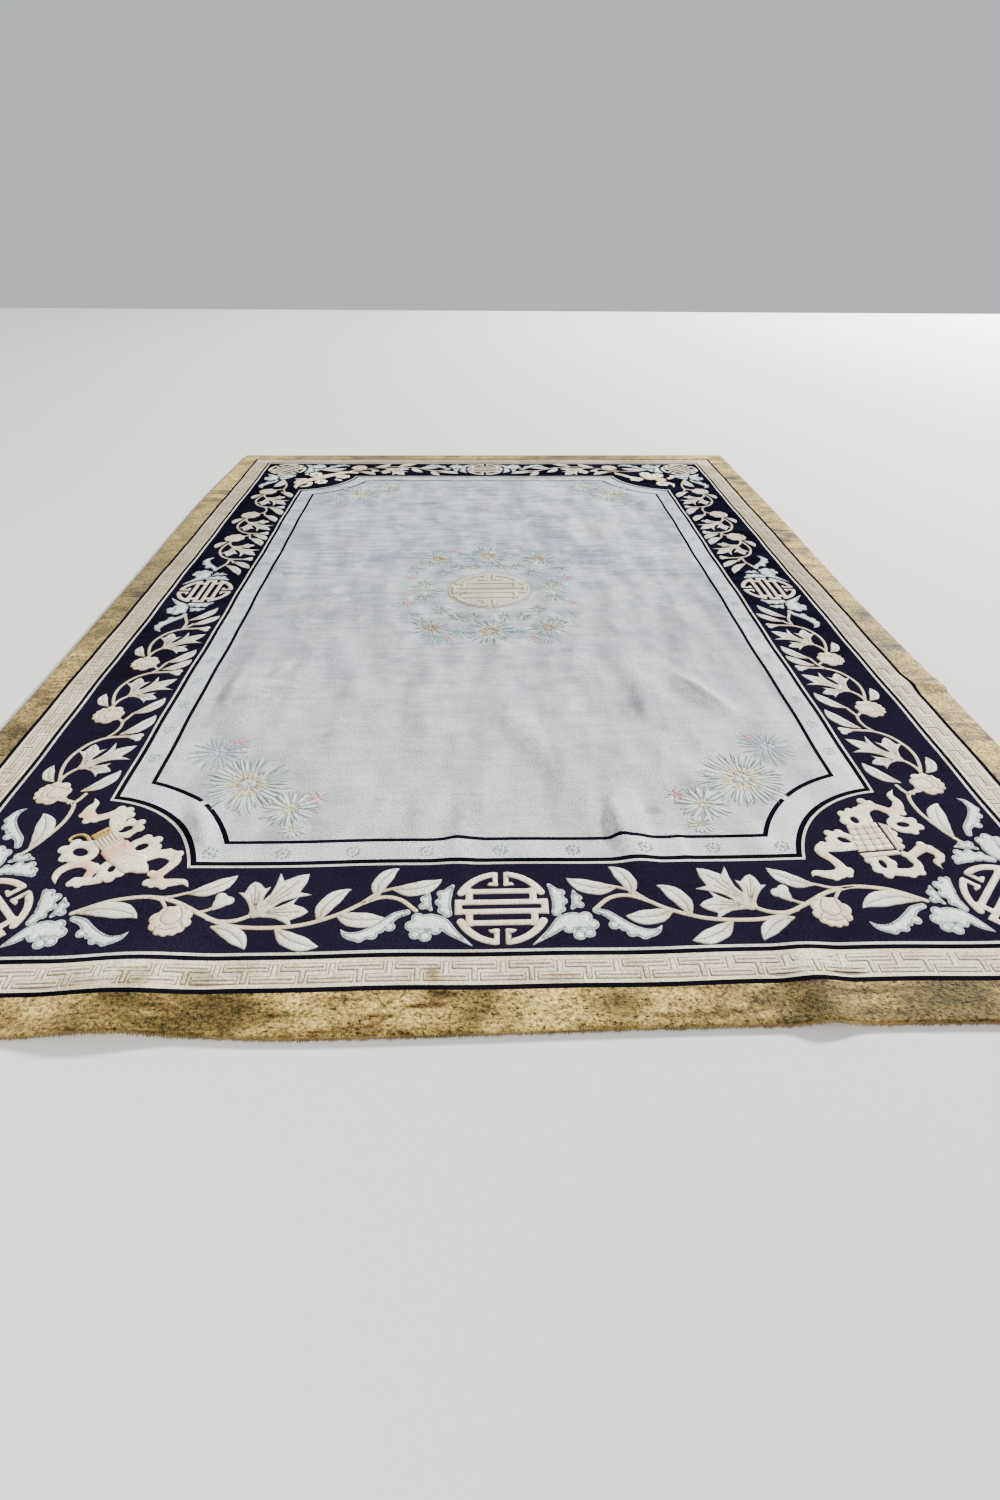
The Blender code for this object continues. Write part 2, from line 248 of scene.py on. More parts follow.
dark = {"gloss": 0.0, "sheen": 0.0, "rimAmount": 0.0, "tooth": 0.3}
# The fret's ground: painted light makes it lighter towards the near end, and painted shade darkens listed
# patches, most of all along the right side
fretLook = {"light": "#C9C2A2", "deep": "#958A64", "warm": "#EEE4C4", "warmAmount": 0.6, "rim": "#4E3404",
            "wornColour": "#7A602E",
            "stains": (("#A08A5C", 0.45, 90), ("#75543A", 0.25, 28)),
            "worn": ((-0.69, -1.735, 0.035, 0.5), (-0.575, -1.735, 0.035, 0.6), (-0.135, -1.735, 0.022, 0.8),
                     (0.11, -1.750, 0.04, 0.4), (1.235, 0.2, 1.0, 0.48), (-1.235, 0.2, 1.0, 0.14),
                     (0.0, 1.73, 0.9, 0.22))}
finishes = {
    # Long golden silk, brushed this way and that, olive and brown with age; painted shade darkens it in
    # clouds and listed patches where the pile leans away from the light
    "gold": silkPile("goldPile", light="#C6A85E", deep="#3A2A0E", cloudMm=110, cloudStretch=(0.7, 1.3, 1),
                     streaks=0.35, streakMm=34, contrast=(0.39, 0.56), rimAmount=0.0, speckle=1.1, knots=0.4,
                     tooth=0.9, grainMm=6.0, grainStretch=(0.75, 1.0, 1), wornColour="#352A10", gloss=0.05,
                     stains=(("#47341A", 0.60, 85), ("#75733A", 0.45, 38), ("#84573A", 0.30, 60)),
                     worn=((-0.72, -1.81, 0.11, 0.65), (-0.55, -1.81, 0.14, 0.85), (-0.95, -1.82, 0.12, 0.45),
                           (-0.05, -1.79, 0.06, 0.7), (0.21, -1.82, 0.07, 0.5), (0.57, -1.80, 0.14, 0.75),
                           (0.84, -1.80, 0.22, 0.8), (-1.33, -1.1, 0.6, 0.6), (-1.33, 0.1, 0.9, 0.6),
                           (-0.6, 1.82, 0.6, 0.55), (0.5, 1.82, 0.6, 0.55), (1.33, -0.3, 0.3, 0.3))),
    # Black-blue outline rows, too narrow to catch any light
    "navyLine": silkPile("navyLinePile", light="#110F18", deep="#09080E", **dark),
    # Undyed silk gone the colour of old ivory, foxed with brown
    "fret": silkPile("fretGroundPile", rimAmount=0.0, **fretLook),
    # The fret's own pile is the ground's: only the clipped furrows round it show, in painted shade
    "key": silkPile("fretPile", rimAmount=1.0, **fretLook),
    # Clean ivory rows beside them
    "creamLine": silkPile("creamLinePile", light="#D6D3C2", deep="#AEAA98", rimAmount=0.0),
    # Indigo ground, deep and matt because its yarn stands upright; painted sheen makes it a little lighter
    # and purple towards the near end
    "border": silkPile("navyPile", light="#121120", deep="#05040A", warm="#1F1A29", warmAmount=0.6,
                       speckle=0.5, streakMm=40, **dark),
    # Ice-blue silk of the guard band; painted light makes it almost white towards the near end
    "guard": silkPile("paleBluePile", light="#B2B8BB", deep="#7E8892", warm="#D2D1CC", warmAmount=0.65,
                      rimAmount=0.0, wrinkles=0.6, stains=(("#CFCEC8", 0.5, 50), ("#8D97A4", 0.3, 70))),
    # Grey-blue silk of the field: clouded, streaked along its wefts; painted light makes it lighter and
    # warmer at the near end, and painted shade darkens listed patches by the folds and over the right side
    "field": silkPile("greyBluePile", light="#AEB2B7", deep="#6C7486", warm="#CEC6C1", warmAmount=0.62,
                      rimAmount=0.0, wrinkles=0.8, cloudMm=260, cloudStretch=(0.7, 1.2, 1), streaks=0.46,
                      streakMm=34, contrast=(0.40, 0.58),
                      stains=(("#C6C4BE", 0.6, 60), ("#747C90", 0.40, 190), ("#B4AAA2", 0.35, 140),
                              ("#8E9096", 0.38, 46)),
                      wornColour="#6F7576", worn=((0.376, -1.271, 0.024, 0.6), (0.400, -0.830, 0.10, 0.16),
                                                  (0.470, -0.920, 0.04, 0.3), (0.80, -0.35, 0.50, 0.30),
                                                  (-0.70, -0.20, 0.40, 0.16))),
    # Silk wound over the edge, and the bare cotton knots of the back
    "overcast": silkPile("overcastEdge", light="#A98F62", deep="#6B5330", rimAmount=0.0),
    "back": silkPile("cottonBack", light="#C9BCA0", deep="#A4967A", rimAmount=0.0, sheen=0.1),
    # Cream silk leaves, golden at their throats, with painted shade, brown, along the clipped edge
    "leaf": silkPile("creamLeafPile", light="#D0D0CC", deep="#A6A69E", warm="#E9E8DA", warmAmount=0.7,
                     blush="#A8905A", blushAmount=0.7, rim="#4E3E22", rimAmount=0.95,
                     stains=(("#CCC094", 0.35, 34), ("#C8CCC8", 0.3, 22))),
    # Beige silk of the stems
    "stem": silkPile("beigeStemPile", light="#BDB59E", deep="#8E846A", warm="#D8CCA4", warmAmount=0.7,
                     rim="#4E4024", rimAmount=0.85),
    # Grey-green silk of the cloud leaves, cool beside the cream, with a second furrow inside the edge; both
    # furrows take painted shade
    "cloud": silkPile("greyGreenPile", light="#CCD6D4", deep="#96A5A2", warm="#E2E8DE", warmAmount=0.6,
                      rim="#36443E", rimAmount=0.95, stains=(("#ECEBE0", 0.4, 30),)),
    # Cream silk of the round flowers, tinted peach in the folds
    "flower": silkPile("creamFlowerPile", light="#CFCABC", deep="#A69F8C", warm="#E8DFC2", warmAmount=0.7,
                       blush="#BA925A", blushAmount=0.6, rim="#543C1C", rimAmount=0.95,
                       stains=(("#CFA878", 0.4, 26),)),
    # Cream silk ribbons, greenish in places, that blush to coral where they fold
    "ribbon": silkPile("ribbonPile", light="#EFE7CC", deep="#CCC6A2", blush="#E08A6C", blushAmount=0.75,
                       rim="#6E6238", rimAmount=0.9, stains=(("#CFD49C", 0.35, 30), ("#C4D2D8", 0.3, 45))),
    # Pale silk of the emblems, its drawing cut in as furrows, dark gold with painted shade
    "emblem": silkPile("emblemPile", light="#EFE6D0", deep="#D0BF94", blush="#DC8A66", blushAmount=0.75,
                       rim="#4E380C", rimAmount=1.0, stains=(("#DDB67C", 0.35, 30), ("#C2CCD2", 0.4, 22))),
    "gilt": silkPile("giltPile", light="#D6BC7A", deep="#A88644", rim="#5E461C", rimAmount=0.9),  # gold yarn
    # Ivory fretwork of the round medallions, peach in places
    "disc": silkPile("medallionPile", light="#D0CABE", deep="#A49C8A", warm="#E9DEC2", warmAmount=0.7,
                     rim="#523A18", rimAmount=0.95, stains=(("#D8B088", 0.5, 60),)),
    # The middle round: beige on beige, its bars told by thin brown outlines of painted shade
    "fieldBars": silkPile("fieldBarPile", light="#C4BDB0", deep="#9E978C", rimAmount=0.0,
                          stains=(("#CDB07A", 0.45, 70),)),
    # painted shade: the brown that outlines the middle round's bars
    "middleOutlineShade": silkPile("brownOutlineShadePile", light="#6A543A", deep="#4A3822", rimAmount=0.0),
    # Silk of the small flowers: hardly apart from the ground, told by the painted shade of their furrows and
    # faint tints
    "floret": silkPile("guardFloretPile", light="#A6ADAC", deep="#848C8E", rim="#56605C", rimAmount=0.8),
    "petalPale": silkPile("petalPale", light="#DADFD8", deep="#B2BCB4", rim="#5E6C64", rimAmount=0.8),
    "petalBlue": silkPile("petalBlue", light="#A4B4B8", deep="#7C9098", rim="#526670"),
    "petalGreen": silkPile("petalGreen", light="#707E74", deep="#4E5C54", rim="#34443E"),
    "petalSage": silkPile("petalSage", light="#A8B8A6", deep="#83958A", rim="#566A5C", rimAmount=0.7),
    "petalOchre": silkPile("petalOchre", light="#BEA886", deep="#94805E", rim="#5A4226", rimAmount=0.8),
    "petalPink": silkPile("petalPink", light="#CF9494", deep="#B07078"),
    "petalLime": silkPile("petalLime", light="#CCCA9C", deep="#A6A674"),
    # Loose ends of the gold pile at the cut edge, darker and browner than its face
    "tuft": silkPile("tuftSilk", light="#A88E54", deep="#4C381A", rim="#7E5428", rimAmount=0.4,
                     contrast=(0.42, 0.58), stains=(("#3F3014", 0.5, 70), ("#A9702F", 0.35, 120))),
}
say("finishes made")


# The cloth

# What each woven line opens, and how far in from the side and from the end the line runs
bands = (
    ("gold", 0.006, 0.006), ("navyLine", 0.0882, 0.0874), ("fret", 0.0998, 0.0986),
    ("navyLine", 0.1688, 0.1624), ("creamLine", 0.1800, 0.1735), ("border", 0.1866, 0.1800),
    ("creamLine", 0.4284, 0.4114), ("navyLine", 0.4342, 0.4178), ("guard", 0.4464, 0.4302),
    ("navyLine", 0.5044, 0.4866), ("field", 0.5158, 0.4974),
)
notch = {"first": 6, "x": 0.975, "y": 1.510, "radius": 0.3135, "at": 0.441, "grow": 1.05,
         "breakAngle": 46.5, "breakHalf": 1.3, "breakPast": (0.6, 1.1)}


def notchRadius(band):
    return notch["radius"] + (bands[band][1] - notch["at"]) * notch["grow"]


def outsideOf(band, x, y):  # below 0 inside the line that opens this band
    far = np.maximum(np.abs(x) - halfWidth + bands[band][1], np.abs(y) - halfLength + bands[band][2])
    if band >= notch["first"]:
        away = np.hypot(np.abs(x) - notch["x"], np.abs(y) - notch["y"])
        far = np.maximum(far, notchRadius(band) - away)
    return far


def alongLine(start, end, step):
    count = max(1, int(round(math.dist(start, end) / step)))
    return [(start[0] + (end[0] - start[0]) * i / count, start[1] + (end[1] - start[1]) * i / count)
            for i in range(count)]


def bandLoop(band, step):
    a, b = halfWidth - bands[band][1], halfLength - bands[band][2]
    if band < notch["first"]:
        corners = [(a, b), (-a, b), (-a, -b), (a, -b)]
        return sum((alongLine(corners[i], corners[(i + 1) % 4], step) for i in range(4)), [])
    radius = notchRadius(band)
    first = math.atan2(-math.sqrt(radius ** 2 - (notch["x"] - a) ** 2), a - notch["x"])
    last = math.atan2(b - notch["y"], -math.sqrt(radius ** 2 - (notch["y"] - b) ** 2))
    count = int(abs(last - first) * radius / step)
    arc = [(notch["x"] + radius * math.cos(first + (last - first) * i / count),
            notch["y"] + radius * math.sin(first + (last - first) * i / count)) for i in range(count + 1)]
    loop = []
    for signX, signY, order in ((1, 1, 1), (-1, 1, -1), (-1, -1, 1), (1, -1, -1)):
        corner = [(x * signX, y * signY) for x, y in arc[::order]]
        if loop:
            loop += alongLine(loop[-1], corner[0], step)[1:]
        loop += corner
    return loop + alongLine(loop[-1], loop[0], step)[1:]


def triangulate(points, edges):
    flat = [Vector((float(x), float(y))) for x, y in points]
    found, _, faces, sources, _, _ = delaunay_2d_cdt(flat, edges, [], 0, 1e-7, True)
    place = np.array([[p.x, p.y] for p in found])
    faces = np.array([f for f in faces if len(f) == 3])
    a, b, c = (place[faces[:, i]] for i in range(3))
    turned = (b[:, 0] - a[:, 0]) * (c[:, 1] - a[:, 1]) - (b[:, 1] - a[:, 1]) * (c[:, 0] - a[:, 0])
    keep = np.abs(turned) > 1e-12
    faces, turned = faces[keep], turned[keep]
    faces[turned < 0] = faces[turned < 0][:, ::-1]
    return place, faces, sources


def ringEdges(start, count):
    return [(start + i, start + (i + 1) % count) for i in range(count)]


def gridPoints(step, reachX, reachY):  # a net of even triangles
    rows, stepY = [], step * 0.866
    for j, y in enumerate(np.arange(-reachY + stepY / 2, reachY, stepY)):
        shift = step / 2 if j % 2 else 0.0
        xs = np.arange(-reachX + step / 2 + shift, reachX, step)
        rows.append(np.column_stack([xs, np.full(len(xs), y)]))
    return np.vstack(rows)


def clothMesh():
    step = cloth["gridStep"]
    rimLoop = bandLoop(0, step)
    points, edges = [], []
    for band in range(len(bands)):
        loop = bandLoop(band, step)
        edges += ringEdges(len(points), len(loop))
        points += loop
    for middle in (-notch["breakHalf"], notch["breakHalf"]):  # the thin line stops at each notch's middle
        turn = math.radians(notch["breakAngle"] + middle)
        for signX in (-1, 1):
            for signY in (-1, 1):
                edges.append((len(points), len(points) + 1))
                points += [(signX * (notch["x"] - notchRadius(band) * math.cos(turn)),
                            signY * (notch["y"] - notchRadius(band) * math.sin(turn))) for band in (9, 10)]
    inner = gridPoints(step, halfWidth - bands[0][1] - step / 3, halfLength - bands[0][2] - step / 3)
    close = np.min([np.abs(outsideOf(band, inner[:, 0], inner[:, 1])) for band in range(len(bands))], axis=0)
    inner = inner[close > cloth["clear"]]
    place, faces, sources = triangulate(points + [tuple(p) for p in inner], edges)

    middle = place[faces].mean(axis=1)
    depth = sum((outsideOf(band, *middle.T) < 0).astype(int) for band in range(1, len(bands)))
    angle = np.degrees(np.arctan2(notch["y"] - np.abs(middle[:, 1]), notch["x"] - np.abs(middle[:, 0])))
    broken = (depth == 9) & (np.abs(angle - notch["breakAngle"]) < notch["breakHalf"])
    broken &= (np.abs(middle) > notch["breakPast"]).all(axis=1)
    depth[broken] = 8

    names = ["gold", "navyLine", "fret", "creamLine", "border", "guard", "field", "overcast", "back"]
    slots = np.array([names.index(bands[d][0]) for d in range(len(bands))])[depth]
    points3 = [onTop(place)]
    allFaces, allSlots = [faces], [slots]

    foundAt = {source: i for i, group in enumerate(sources) for source in group}
    ring = np.array([foundAt[i] for i in range(len(rimLoop))])
    scaleIn = np.array(rimLoop) / np.array([halfWidth - bands[0][1], halfLength - bands[0][2]])
    count = len(place)
    for inset, height, slot in cloth["rimRows"]:
        x, y = layOut(scaleIn[:, 0] * (halfWidth - inset), scaleIn[:, 1] * (halfLength - inset))
        points3.append(np.column_stack([x, y, lift(x, y) + height]))
        lower = count + np.arange(len(ring))
        count += len(ring)
        nextRing, nextLower = np.roll(ring, -1), np.roll(lower, -1)
        allFaces += [np.column_stack([ring, lower, nextLower]), np.column_stack([ring, nextLower, nextRing])]
        allSlots += [np.full(len(ring), names.index(slot))] * 2
        ring = lower
    # the back, on a coarser net that shares the last ring
    backLoop = scaleIn * np.array([halfWidth - inset, halfLength - inset])
    inner = gridPoints(cloth["backStep"], halfWidth - 0.02, halfLength - 0.02)
    place, faces, sources = triangulate([tuple(p) for p in backLoop] + [tuple(p) for p in inner],
                                        ringEdges(0, len(backLoop)))
    x, y = layOut(place[:, 0], place[:, 1])
    points3.append(np.column_stack([x, y, lift(x, y)]))
    number = np.array([ring[group[0]] if group and group[0] < len(backLoop) else count + i
                       for i, group in enumerate(sources)])
    allFaces.append(number[faces][:, ::-1])
    allSlots.append(np.full(len(faces), names.index("back")))
    return np.vstack(points3), np.vstack(allFaces), np.concatenate(allSlots), names


def placed(name, data):  # an object that sits at the origin
    thing = bpy.data.objects.new(name, data)
    bpy.context.scene.collection.objects.link(thing)
    return thing


def newMesh(name, points, faces, numbers=()):  # numbers: one value for each point, under its label
    mesh = bpy.data.meshes.new(name)
    mesh.from_pydata(points, [], faces)
    for label, values in dict(numbers).items():
        store = mesh.attributes.new(label, "FLOAT", "POINT").data
        store.foreach_set("value", np.array(values, dtype=np.float32))
    return mesh


def makePiece(name, points, faces, slots, finishNames, numbers=()):
    used = np.unique(faces)
    number = np.full(len(points), -1)
    number[used] = np.arange(len(used))
    kept = {label: values[used] for label, values in dict(numbers).items()}
    mesh = newMesh(name, points[used].tolist(), number[faces].tolist(), kept)
    for finish in finishNames:
        mesh.materials.append(finishes[finish])
    mesh.polygons.foreach_set("material_index", np.asarray(slots, dtype=np.int32))
    mesh.shade_smooth()
    return placed(name, mesh)


silkCloth = makePiece("silkCloth", *clothMesh())
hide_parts("rug")
say("cloth laid, %d faces" % len(silkCloth.data.polygons))


# Carved motifs. Each is a drawing made of soft strokes and plates, filled as one outline.

def smoothPath(knots, count):  # an even curve through a few chosen points
    knots = np.array(knots, dtype=float)
    if len(knots) < 3:
        return knots[0] + (knots[-1] - knots[0]) * np.linspace(0, 1, count)[:, None]
    padded = np.vstack([2 * knots[0] - knots[1], knots, 2 * knots[-1] - knots[-2]])
    spots = np.linspace(0, len(knots) - 1 - 1e-9, count)
    index = spots.astype(int)
    t = (spots - index)[:, None]
    a, b, c, d = (padded[index + i] for i in range(4))
    square, cube = 2 * a - 5 * b + 4 * c - d, 3 * b - a - 3 * c + d
    return 0.5 * (2 * b + (c - a) * t + square * t ** 2 + cube * t ** 3)


def stroke(knots, radii, blush=(0.0, 0.0), count=16):  # a brush stroke that swells and thins
    path = smoothPath(knots, count)
    share = np.linspace(0, 1, count)
    width = np.interp(share, np.linspace(0, 1, len(radii)), radii)
    tint = np.interp(share, np.linspace(0, 1, len(blush)), blush)

    def away(points):
        best, tone = np.full(len(points), 1.0), np.zeros(len(points))
        for i in range(count - 1):
            span, ahead = path[i + 1] - path[i], points - path[i]
            at = np.clip(ahead @ span / max(span @ span, 1e-12), 0, 1)
            gap = np.hypot(*(ahead - at[:, None] * span).T) - width[i] - at * (width[i + 1] - width[i])
            closer = gap < best
            best = np.where(closer, gap, best)
            tone = np.where(closer, tint[i] + at * (tint[i + 1] - tint[i]), tone)
        return best, tone
    reach = max(radii)
    return away, path.min(axis=0) - reach, path.max(axis=0) + reach


def spot(x, y, radius, blush=0.0):
    def away(points):
        return np.hypot(points[:, 0] - x, points[:, 1] - y) - radius, np.full(len(points), blush)
    return away, np.array([x - radius, y - radius]), np.array([x + radius, y + radius])


def plate(x, y, halfX, halfY, turn=0.0, corner=0.0012, blush=0.0):
    c, s = math.cos(turn), math.sin(turn)

    def away(points):
        dx, dy = points[:, 0] - x, points[:, 1] - y
        overX = np.abs(dx * c + dy * s) - halfX + corner
        overY = np.abs(dy * c - dx * s) - halfY + corner
        gap = np.hypot(np.maximum(overX, 0), np.maximum(overY, 0)) + np.minimum(np.maximum(overX, overY), 0)
        return gap - corner, np.full(len(points), blush)
    reach = math.hypot(halfX, halfY)
    return away, np.array([x - reach, y - reach]), np.array([x + reach, y + reach])


def leafForm(base, tip, width, bend):  # arched, full below the middle, its tip hooked back, with a midrib
    base, tip = np.array(base, dtype=float), np.array(tip, dtype=float)
    span = tip - base
    side = bend * np.array([-span[1], span[0]])
    axis = [base, base + 0.32 * span + side, base + 0.64 * span + side, base + 0.87 * span + 0.55 * side, tip]
    blade = stroke(axis, [part * width for part in (0.10, 0.46, 0.49, 0.22, 0.03)],
                   (1.0, 0.45, 0.1, 0.0, 0.0))
    return drawn([blade], grooves=[smoothPath(axis, 22)[2:18]])


# Walks the zero line of the drawing through a fine net. The code of a cell adds up its corners inside
# (1, 2, 4, 8 round from the lower left); each turn is the side it comes in by, then the one it leaves by.
def outlineOf(away, low, high, cell):
    xs = np.arange(low[0] - 2 * cell, high[0] + 3 * cell, cell)
    ys = np.arange(low[1] - 2 * cell, high[1] + 3 * cell, cell)
    gridX, gridY = np.meshgrid(xs, ys)
    gap = away(np.column_stack([gridX.ravel(), gridY.ravel()]))[0].reshape(gridX.shape)
    gap[np.abs(gap) < 1e-7] = 1e-7
    inside = gap < 0
    code = (inside[:-1, :-1] * 1 + inside[:-1, 1:] * 2 + inside[1:, 1:] * 4 + inside[1:, :-1] * 8)
    turns = {1: (30,), 2: (1,), 3: (31,), 4: (12,), 5: (30, 12), 6: (2,), 7: (32,), 8: (23,), 9: (20,),
             10: (1, 23), 11: (21,), 12: (13,), 13: (10,), 14: (3,)}
    following = {}
    for j, i in zip(*np.nonzero((code > 0) & (code < 15))):
        sides = (("h", j, i), ("v", j, i + 1), ("h", j + 1, i), ("v", j, i))
        for turn in turns[int(code[j, i])]:
            following[sides[turn // 10]] = sides[turn % 10]

    def crossing(side):
        kind, j, i = side
        otherJ, otherI = (j, i + 1) if kind == "h" else (j + 1, i)
        share = gap[j, i] / (gap[j, i] - gap[otherJ, otherI])
        return (xs[i] + share * (xs[otherI] - xs[i]), ys[j] + share * (ys[otherJ] - ys[j]))
    loops = []
    while following:
        side = start = next(iter(following))
        loop = []
        while side in following:
            loop.append(crossing(side))
            side = following.pop(side)
        if side == start and len(loop) > 7:
            loops.append(thinned(loop))
    return loops


def thinned(loop, within=0.00022, longest=0.011):  # drops points that the outline doesn't need
    for _ in range(4):
        kept, i = [], 0
        while i < len(loop):
            before, here, after = loop[i - 1] if not kept else kept[-1], loop[i], loop[(i + 1) % len(loop)]
            span = math.dist(before, after)
            overX, overY = after[0] - before[0], after[1] - before[1]
            off = abs(overX * (here[1] - before[1]) - overY * (here[0] - before[0]))
            if len(loop) > 8 and span < longest and off < within * max(span, 1e-9):
                kept.append(after)
                i += 2
            else:
                kept.append(here)
                i += 1
        if kept[0] == kept[-1]:
            kept.pop()
        loop = kept
    return loop


def withinLoops(points, loops):
    inside = np.zeros(len(points), dtype=bool)
    for loop in loops:
        loop = np.array(loop)
        for (x1, y1), (x2, y2) in zip(loop, np.roll(loop, -1, axis=0)):
            crosses = (y1 > points[:, 1]) != (y2 > points[:, 1])
            if y1 != y2:
                inside ^= crosses & (points[:, 0] < (x2 - x1) * (points[:, 1] - y1) / (y2 - y1) + x1)
    return inside


def nearLine(points, line):  # how far each point is from a line of short steps
    start, span = line[:-1], np.diff(line, axis=0)
    gap = points[:, None, :] - start
    share = np.clip((gap * span).sum(axis=2) / np.maximum((span ** 2).sum(axis=1), 1e-12), 0, 1)
    return np.hypot(*(gap - share[..., None] * span).transpose(2, 0, 1)).min(axis=1)


carving = {
    # Steps of the outline, width of the slope, steps of the top
    "cell": 0.0024, "bevel": 0.0032, "net": 0.012,
    "edgeGap": 0.0012, "netGap": 0.0034,  # what a furrow keeps from the edge, and the net from a furrow
    # The furrow's shoulders, and what they keep from other furrows
    "shoulder": 0.0025, "shoulderGap": 0.0018,
    "halfFurrow": 0.0006, "furrowHeight": 0.4, "furrowShade": 0.9,
    "sunk": 0.0003, "underside": 0.003,  # how far the edge and the underside lie below the pile
}


# Fills a drawing: the net follows its slope and its furrows. Inset draws one more furrow along its edge.
def drawn(parts, grooves=(), cell=carving["cell"], bevel=carving["bevel"], fill=carving["net"], inset=0.0):
    def away(points):
        gaps, tones = (np.array(rows) for rows in zip(*(part[0](points) for part in parts)))
        return gaps.min(axis=0), tones[gaps.argmin(axis=0), np.arange(len(points))]
    low = np.min([part[1] for part in parts], axis=0)
    high = np.max([part[2] for part in parts], axis=0)
    for finer in (1.0, 0.91, 0.83, 0.75):  # a finer net where the outline would cross itself
        loops = outlineOf(away, low, high, cell * finer)
        rim = [p for loop in loops for p in loop]
        edges = []
        for loop in loops:
            edges += ringEdges(len(edges), len(loop))
        under, underFaces, underSources = triangulate(rim, edges)
        if all(underSources) and len(underSources) == len(rim):
            break
    underFaces = underFaces[withinLoops(under[underFaces].mean(axis=1), loops)]
    if inset:
        inner = outlineOf(lambda points: (away(points)[0] + inset, 0), low, high, cell)
        grooves = list(grooves) + [loop + loop[:1] for loop in inner if len(loop) > 12]
    points, count = np.array(rim), len(rim)
    slope = np.column_stack([away(points + step)[0] - away(points - step)[0]
                             for step in (np.array([0.0004, 0]), np.array([0, 0.0004]))])
    slope /= np.maximum(np.hypot(*slope.T), 1e-9)[:, None]
    for depth in (0.4 * bevel, bevel):
        moved = np.array(rim) - slope * depth
        points = np.vstack([points, moved[away(moved)[0] < -0.8 * depth]])
    net = gridPoints(fill, (high[0] - low[0]) / 2, (high[1] - low[1]) / 2) + (low + high) / 2
    points = np.vstack([points, net[away(net)[0] < -bevel - 0.35 * fill]]) if len(net) else points
    lines = [np.array(groove)[away(np.array(groove))[0] < -carving["edgeGap"]] for groove in grooves]
    lines = [line for line in lines if len(line) > 1]
    free = points[count:]
    for line in lines:
        free = free[nearLine(free, line) > carving["netGap"]]
    points = np.vstack([points[:count], free])
    for line in lines:
        edges += [(len(points) + i, len(points) + i + 1) for i in range(len(line) - 1)]
        points = np.vstack([points, line])
    for line in lines:
        span = np.gradient(line, axis=0)
        side = np.column_stack([-span[:, 1], span[:, 0]]) / np.maximum(np.hypot(*span.T), 1e-9)[:, None]
        both = np.vstack([line + carving["shoulder"] * side, line - carving["shoulder"] * side])
        clear = np.min([nearLine(both, other) for other in lines], axis=0) > carving["shoulderGap"]
        points = np.vstack([points, both[clear & (away(both)[0] < -carving["edgeGap"])]])
    place, faces, sources = triangulate(points, edges)
    faces = faces[withinLoops(place[faces].mean(axis=1), loops)]
    gap, tone = away(place)
    # the furrow number leads the painted shade: 1 on the rim, falling to 0 up the slope, and set on the
    # grooves
    inward = np.clip(-gap / bevel, 0, 1)
    rise, furrow = np.sin(inward * math.pi / 2), 1 - inward
    onRim = np.array([any(s < count for s in group) for group in sources])
    rise[onRim], furrow[onRim] = 0.0, 1.0
    for line in lines:
        deep = (nearLine(place, line) < carving["halfFurrow"]) & ~onRim
        rise[deep] *= carving["furrowHeight"]
        furrow[deep] = carving["furrowShade"]
    foundAt = {source: i for i, group in enumerate(sources) for source in group}
    topOf = np.array([foundAt[group[0]] for group in underSources])
    return {"place": place, "faces": faces, "rise": rise, "blush": tone, "furrow": furrow,
            "under": underFaces, "topOf": topOf}


def newStore():
    return {"points": [], "faces": [], "slots": [], "blush": [], "furrow": [], "count": 0}


# Lays one form on the cloth; move is a 2 x 3 matrix in the plane of the design
def carve(store, form, move, rise, slot=0):
    move = np.array(move, dtype=float)
    flat = form["place"] @ move[:, :2].T + move[:, 2]
    top = onTop(flat)
    lower = top[form["topOf"]] - [0, 0, carving["underside"]]
    top[:, 2] += -carving["sunk"] + rise * form["rise"]
    start, count = store["count"], len(top)
    under = form["under"] + count
    edge = np.vstack([form["faces"][:, [0, 1]], form["faces"][:, [1, 2]], form["faces"][:, [2, 0]]])
    seen = {(a, b) for a, b in edge}
    underOf = {top: count + i for i, top in enumerate(form["topOf"])}
    walls = []
    for a, b in edge:
        if (b, a) not in seen:
            walls += [(a, underOf[a], underOf[b]), (a, underOf[b], b)]
    faces = np.vstack([form["faces"], under[:, ::-1], np.array(walls)])
    if np.linalg.det(move[:, :2]) < 0:
        faces = faces[:, ::-1]
    store["points"].append(np.vstack([top, lower]))
    store["faces"].append(faces + start)
    store["slots"].append(np.full(len(faces), slot))
    store["blush"].append(np.concatenate([form["blush"], form["blush"][form["topOf"]]]))
    store["furrow"].append(np.concatenate([form["furrow"], np.ones(len(lower))]))
    store["count"] += count + len(lower)


def finishStore(name, store, finishNames):
    piece = makePiece(name, np.vstack(store["points"]), np.vstack(store["faces"]),
                      np.concatenate(store["slots"]), finishNames,
                      {label: np.concatenate(store[label]) for label in ("blush", "furrow")})
    onCloth.append(piece)
    say("%s, %d faces" % (name, len(piece.data.polygons)))


# The border. Its drawing is the same in each quarter of the rug. In a strip, the first number
# runs along the border from the middle medallion to the corner, the second out from its centre line.
border = {
    "sideLine": 1.060, "endLine": 1.564, "cornerX": 1.068, "cornerY": 1.566, "stem": 0.0056,
    "leafRise": 0.0016, "stemRise": 0.0012, "flowerRise": 0.0020, "discRise": 0.0018, "disc": 0.101,
    "vineShift": 0.016, "cornerShift": 0.011,
}
quarters = [(-1, -1), (1, -1), (-1, 1), (1, 1)]


def endStrip(signX, signY):
    return [[signX, 0, 0], [0, signY, signY * border["endLine"]]]


